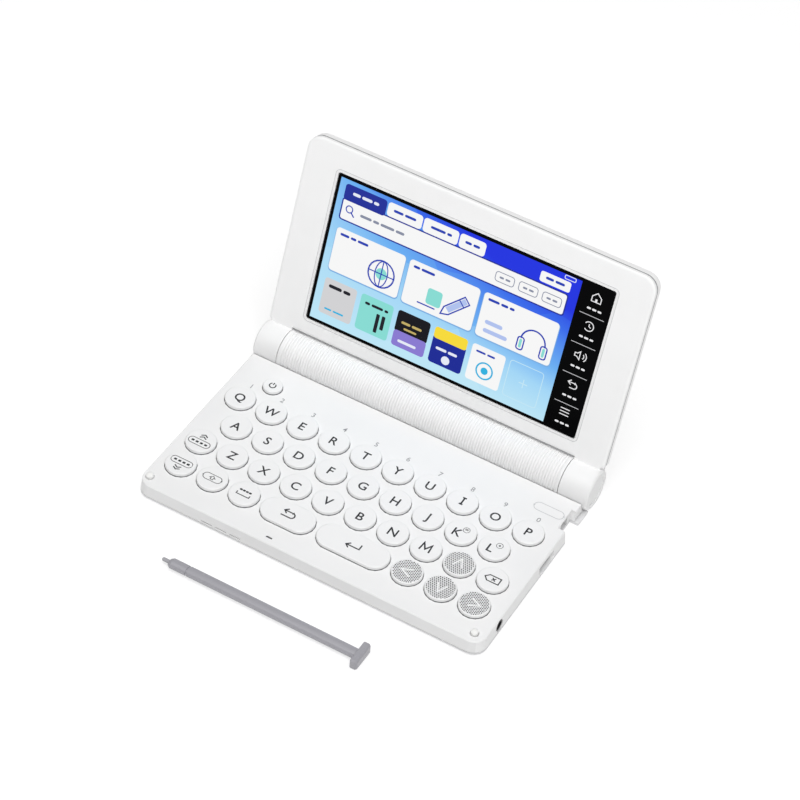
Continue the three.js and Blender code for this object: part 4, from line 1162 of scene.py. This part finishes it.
def screen_art():
    """Every layer of the picture: name, level over the glass, colour, and groups of loops."""
    return [
        ("shadows", 2, "#7FB4E8", plates(
            *[(x0 - 0.25, 42.0, x1 + 0.35, CARD_TOP, 1.8) for x0, x1 in CARDS],
        )),
        ("white_panels", 3, "#FFFFFF", [tile(0), tile(4), *plates(
            (-38.4, 76.0, -22.4, 82.2, 1.4), (-21.8, 76.0, -5.8, 82.2, 1.4), (-5.2, 76.0, 6.6, 82.2, 1.4),
            (31.5, 76.6, 45, 81.2, 1.0), *[(x0, 42.6, x1, CARD_TOP, 1.6) for x0, x1 in CARDS],
            (-58.4, 66.1, 45.0, 75.8, 1.2),
        )]),
        ("navy_panels", 4, "#26349E", [
            [rounded(-58.4, 75.0, -39.0, 82.2, 1.4)],
            [rounded(-58.6, 65.9, 45.2, 76.0, 1.4), rounded(-58.0, 66.5, 44.6, 75.4, 1.0)],
        ]),
        ("mint_panels", 4, "#8DE3DA", [tile(1), [arc(*GLOBE, 2.6)], *plates(
            (-13.0, 46.4, -6.2, 53.6, 1.2), (30.2, 45.2, 31.4, 49.2, 0.5), (40.6, 45.2, 41.8, 49.2, 0.5),
        )]),
        ("pale_blue_panels", 4, "#B6C8F6", [
            [[(-2.0, 46.6), (5.2, 53.6), (3.4, 55.4), (-3.9, 48.4)]],
            *plates((14.0, 45.2, 25.0, 47.0, 0.9), (14.0, 49.0, 22.0, 50.8, 0.9)),
        ]),
        ("grey_tile", 4, "#D9D9DB", [tile(0)]),
        ("black_tile", 4, "#17161C", [tile(2, foot=28.8)]),
        ("violet_tile", 5, "#8F7FD8", [tile(2, top=29.6)]),
        ("deep_blue_tile", 4, "#1D2C9A", [tile(3, top=35.0)]),
        ("yellow_tile", 5, "#FFE23C", [tile(3, foot=33.6)]),
        ("ghost_tile", 4, "#CDEFFD", [
            outline(TILES[5], TILE_FOOT, TILES[5] + TILE_WIDTH, TILE_TOP, TILE_ROUND, 0.3),
            *strokes(
                0.4, [(36.6, 28.6), (36.6, 32.6)], [(34.6, 30.6), (36.35, 30.6)],
                [(36.85, 30.6), (38.6, 30.6)],
            ),
        ]),
        ("blue_lines", 6, "#2C44B8", [
            *line_signs(), *bars(-56, 59.2, [4.2, 2.6, 5.0]), *bars(-21.5, 59.2, [3.0, 6.2]),
            *bars(13, 59.2, [5.2, 3.2, 2.2]), *bars(-35.6, 78.6, [4.5, 5.2]),
            *bars(-18.4, 78.6, [6.8, 2.2]), *bars(-2.6, 78.6, [3.0, 3.0]), *bars(34.0, 78.4, [3.6, 4.2]),
            *bars(TILES[4] + 2, 35.6, [4.4, 3.6], 0.9),
        ]),
        ("cyan_marks", 6, "#35B8E6", [
            ring(TILES[4] + 7.6, 28.6, 3.6, 0.7), [arc(TILES[4] + 7.6, 28.6, 1.6)],
            *bars(TILES[0] + 2.4, 24.6, [3.4, 5.0], 0.8),
        ]),
        ("dark_marks", 6, "#22222A", [
            *bars(TILES[0] + 2.2, 34.8, [6.2, 3.4], 1.5), *bars(TILES[1] + 2.2, 34.6, [2.4, 5.4, 1.8], 1.2),
            *plates(
                (TILES[1] + 8.4, 24.0, TILES[1] + 10.0, 32.6, 0.4),
                (TILES[1] + 11.0, 26.2, TILES[1] + 12.6, 32.6, 0.4),
            ),
        ]),
        ("gold_marks", 6, "#C9B36A", [
            *bars(TILES[2] + 2.4, 33.2, [4.2, 4.6], 1.1), *bars(TILES[2] + 4.0, 30.8, [6.0], 0.9),
        ]),
        ("pale_marks", 6, "#EEF2FF", [
            *bars(-54.6, 78.2, [3.6, 4.8, 2.4], 1.3), *bars(TILES[3] + 2.2, 29.0, [5.0, 4.2], 1.2),
            [arc(TILES[3] + 7.6, 25.6, 1.9)], *bars(TILES[2] + 2.6, 24.6, [8.6], 1.2),
        ]),
        ("grey_marks", 6, "#8D93A8", [
            *bars(-49.4, 70.4, [5.4, 2.8, 6.4, 4.0], 1.2),
            *[outline(x, 68.8, x + 8.4, 73.0, 1.2, 0.35) for x in (13.4, 24.0, 34.6)],
            *[bar for x in (15.2, 25.8, 36.4) for bar in bars(x, 70.4, [2.0, 2.2], 0.9)],
        ]),
        ("battery_sign", 6, "#E8EEFF", [outline(41.6, 82.0, 46.4, 83.6, 0.5, 0.35)]),
        ("strip_signs", 6, "#F2F2F4", strip_signs()),
        ("strip_lines", 5, "#C9C9CC", plates(*[(51.1, y, 61.9, y + 0.28) for y in STRIP_LINES])),
    ]


def strip_signs():
    """Plain signs of the touch strip, from the top: home, clock, sound, return and list."""
    x = STRIP
    home, clock, sound, back, menu = STRIP_ROWS
    house = [
        (x - 2.0, home - 1.9), (x - 2.0, home + 0.3), (x, home + 2.1), (x + 2.0, home + 0.3),
        (x + 2.0, home - 1.9),
    ]
    speaker = [
        (x - 2.5, sound - 0.7), (x - 1.5, sound - 0.7), (x - 0.3, sound - 1.8), (x - 0.3, sound + 1.8),
        (x - 1.5, sound + 0.7), (x - 2.5, sound + 0.7),
    ]
    hook = arc(x + 0.9, back - 0.1, 1.2, 90, -90, 8)
    return [
        stroke(house, 0.4, closed=True), stroke([(x, home - 1.7), (x, home - 0.5)], 0.9),
        stroke(speaker, 0.38, closed=True),
        *strokes(
            0.38, [(x, clock + 1.1), (x, clock), (x + 0.9, clock - 0.5)],
            *[arc(x + 0.2, sound, r, -50, 50, 8) for r in (1.3, 2.4)],
        ),
        *strokes(
            0.4, arc(x, clock, 2.0, -140, 150),
            [(x - 1.9, back + 1.1), (x + 0.9, back + 1.1), *hook, (x - 1.0, back - 1.3)],
            [(x - 0.7, back + 2.2), (x - 2.0, back + 1.1), (x - 0.7, back)],
        ),
        *plates(*[(x - 2.1, menu + dy, x + 2.1, menu + dy + 0.4, 0.2) for dy in (-1.6, -0.2, 1.2)]),
        *[bar for y in STRIP_ROWS for bar in bars(x - 3.0, y - 5.7, [1.8, 1.9, 1.7], 0.85, 0.5)],
    ]


# The inner edge of the rim and its round, the outline of the lid in its plane, and the lid's rounds at its
# foot and at its top, in millimetres
GLASS_EDGE, GLASS_ROUND = (-62.8, 17.0, 63.8, 85.5), 1.0
LID_OUTLINE = (-79, 9.6, 79, 96.8)
LID_ROUNDS = (1.2, 6.5)
# How deep the strip of painted shade goes into the seam, and the strip of painted shade along the lid's
# foot: its reach under and over the edge, its thickness, and how far its middle lies under the face
SEAM_DEPTH = 0.8
FOOT_SHADE_UNDER, FOOT_SHADE_OVER, FOOT_SHADE_THICK, FOOT_SHADE_SUNK = 0.15, 0.3, 0.8, 0.7


def shrunk(area, by):
    return area[0] + by, area[1] + by, area[2] - by, area[3] - by


def lid_outline(by):
    """The outline of the lid, moved in by a distance."""
    x0, y0, x1, y1 = shrunk(LID_OUTLINE, by)
    foot, top = (max(r - by, 0.05) for r in LID_ROUNDS)
    return [
        *arc(x1 - foot, y0 + foot, foot, -90, 0, 5), *arc(x1 - top, y1 - top, top, 0, 90, 10),
        *arc(x0 + top, y1 - top, top, 90, 180, 10), *arc(x0 + foot, y0 + foot, foot, 180, 270, 5),
    ]


class DICTIONARY_OT_glass_rim(bpy.types.Operator):
    """Makes the stepped rim round the glass, and a faint line of painted shade along its outer step"""

    bl_idname = "dictionary.glass_rim"
    bl_label = "Rim of the glass"

    def execute(self, context):
        sizes = context.scene.dictionary.lid
        wide, line = sizes.rim / MM, sizes.rim_line / MM
        inner, middle, outer = (
            rounded(*shrunk(GLASS_EDGE, -by), GLASS_ROUND + by) for by in (0, wide, wide + line)
        )
        rim = on_lid(flat([[middle, inner]], sizes.rim_rise / MM), sizes.face + sizes.rim_rise / 2)
        broken(piece("glass_rim", rim, "lid", finish("shell")), 0.08 * MM)
        # Painted shade: a faint grey line along the outer step of the rim
        edge = on_lid(flat([[outer, middle]]), sizes.face + 0.006 * MM)
        piece("glass_rim_line", edge, "lid", finish("faint_ink"))
        return {"FINISHED"}


class DICTIONARY_OT_lid_seam(bpy.types.Operator):
    """Lays grey strips of painted shade in the seam between the two shells of the lid and along its foot"""

    bl_idname = "dictionary.lid_seam"
    bl_label = "Seams of the lid"

    def execute(self, context):
        sizes = context.scene.dictionary.lid
        inset = sizes.seam_inset / MM
        strip = flat([[lid_outline(inset), lid_outline(inset + SEAM_DEPTH)]], sizes.seam_width / MM)
        piece("lid_seam_strip", on_lid(strip, sizes.seam), "lid", finish("seam_shade"))
        low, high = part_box("hinge_barrel")
        left, right, foot = low.x / MM + 0.3, high.x / MM - 0.3, LID_OUTLINE[1]
        foot_shade = flat(plates((left, foot - FOOT_SHADE_UNDER, right, foot + FOOT_SHADE_OVER)), FOOT_SHADE_THICK)
        on_lid(foot_shade, sizes.face - FOOT_SHADE_SUNK * MM)
        piece("lid_foot_seal", foot_shade, "lid", finish("seam_shade"))
        return {"FINISHED"}


# Length of the soft tip in millimetres
TIP = 3.5


class DICTIONARY_OT_stylus(bpy.types.Operator):
    """Makes the moulded stylus with its tip, ring groove and bar head"""

    bl_idname = "dictionary.stylus"
    bl_label = "Stylus"

    def execute(self, context):
        pen = dressed("stylus", "stylus_pen", "base", finish("stylus"), edge=0.15, limit=22)
        tip_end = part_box("stylus")[0].x + TIP * MM
        recoloured(pen, finish("tip"), lambda face: face.center.x < tip_end)
        return {"FINISHED"}


class DICTIONARY_PT_panel(bpy.types.Panel):
    bl_idname = "DICTIONARY_PT_panel"
    bl_label = "Dictionary"
    bl_space_type = "VIEW_3D"
    bl_region_type = "UI"
    bl_category = "Dictionary"

    def draw(self, context):
        for operator in OPERATORS:
            self.layout.operator(operator.bl_idname)
        settings = context.scene.dictionary
        for group in (settings.colours, settings.barrel, settings.lid, settings.keys, settings.stage):
            box = self.layout.box()
            for name in group.__annotations__:
                box.prop(group, name)


OPERATORS = [
    DICTIONARY_OT_stage, DICTIONARY_OT_finishes, DICTIONARY_OT_cells, DICTIONARY_OT_case,
    DICTIONARY_OT_barrel, DICTIONARY_OT_keys, DICTIONARY_OT_legends, DICTIONARY_OT_arrows,
    DICTIONARY_OT_deck_prints, DICTIONARY_OT_display, DICTIONARY_OT_glass_rim, DICTIONARY_OT_lid_seam,
    DICTIONARY_OT_stylus,
]
CLASSES = [
    DictionaryColours, BarrelSizes, LidSizes, KeySizes, StageSettings, DictionarySettings, *OPERATORS,
    DICTIONARY_PT_panel,
]


def register():
    for cls in CLASSES:
        bpy.utils.register_class(cls)
    bpy.types.Scene.dictionary = PointerProperty(type=DictionarySettings)


def unregister():
    del bpy.types.Scene.dictionary
    for cls in reversed(CLASSES):
        bpy.utils.unregister_class(cls)


def main():
    register()
    for operator in OPERATORS:
        getattr(bpy.ops.dictionary, operator.bl_idname.split(".")[1])()


if __name__ == "__main__":
    main()
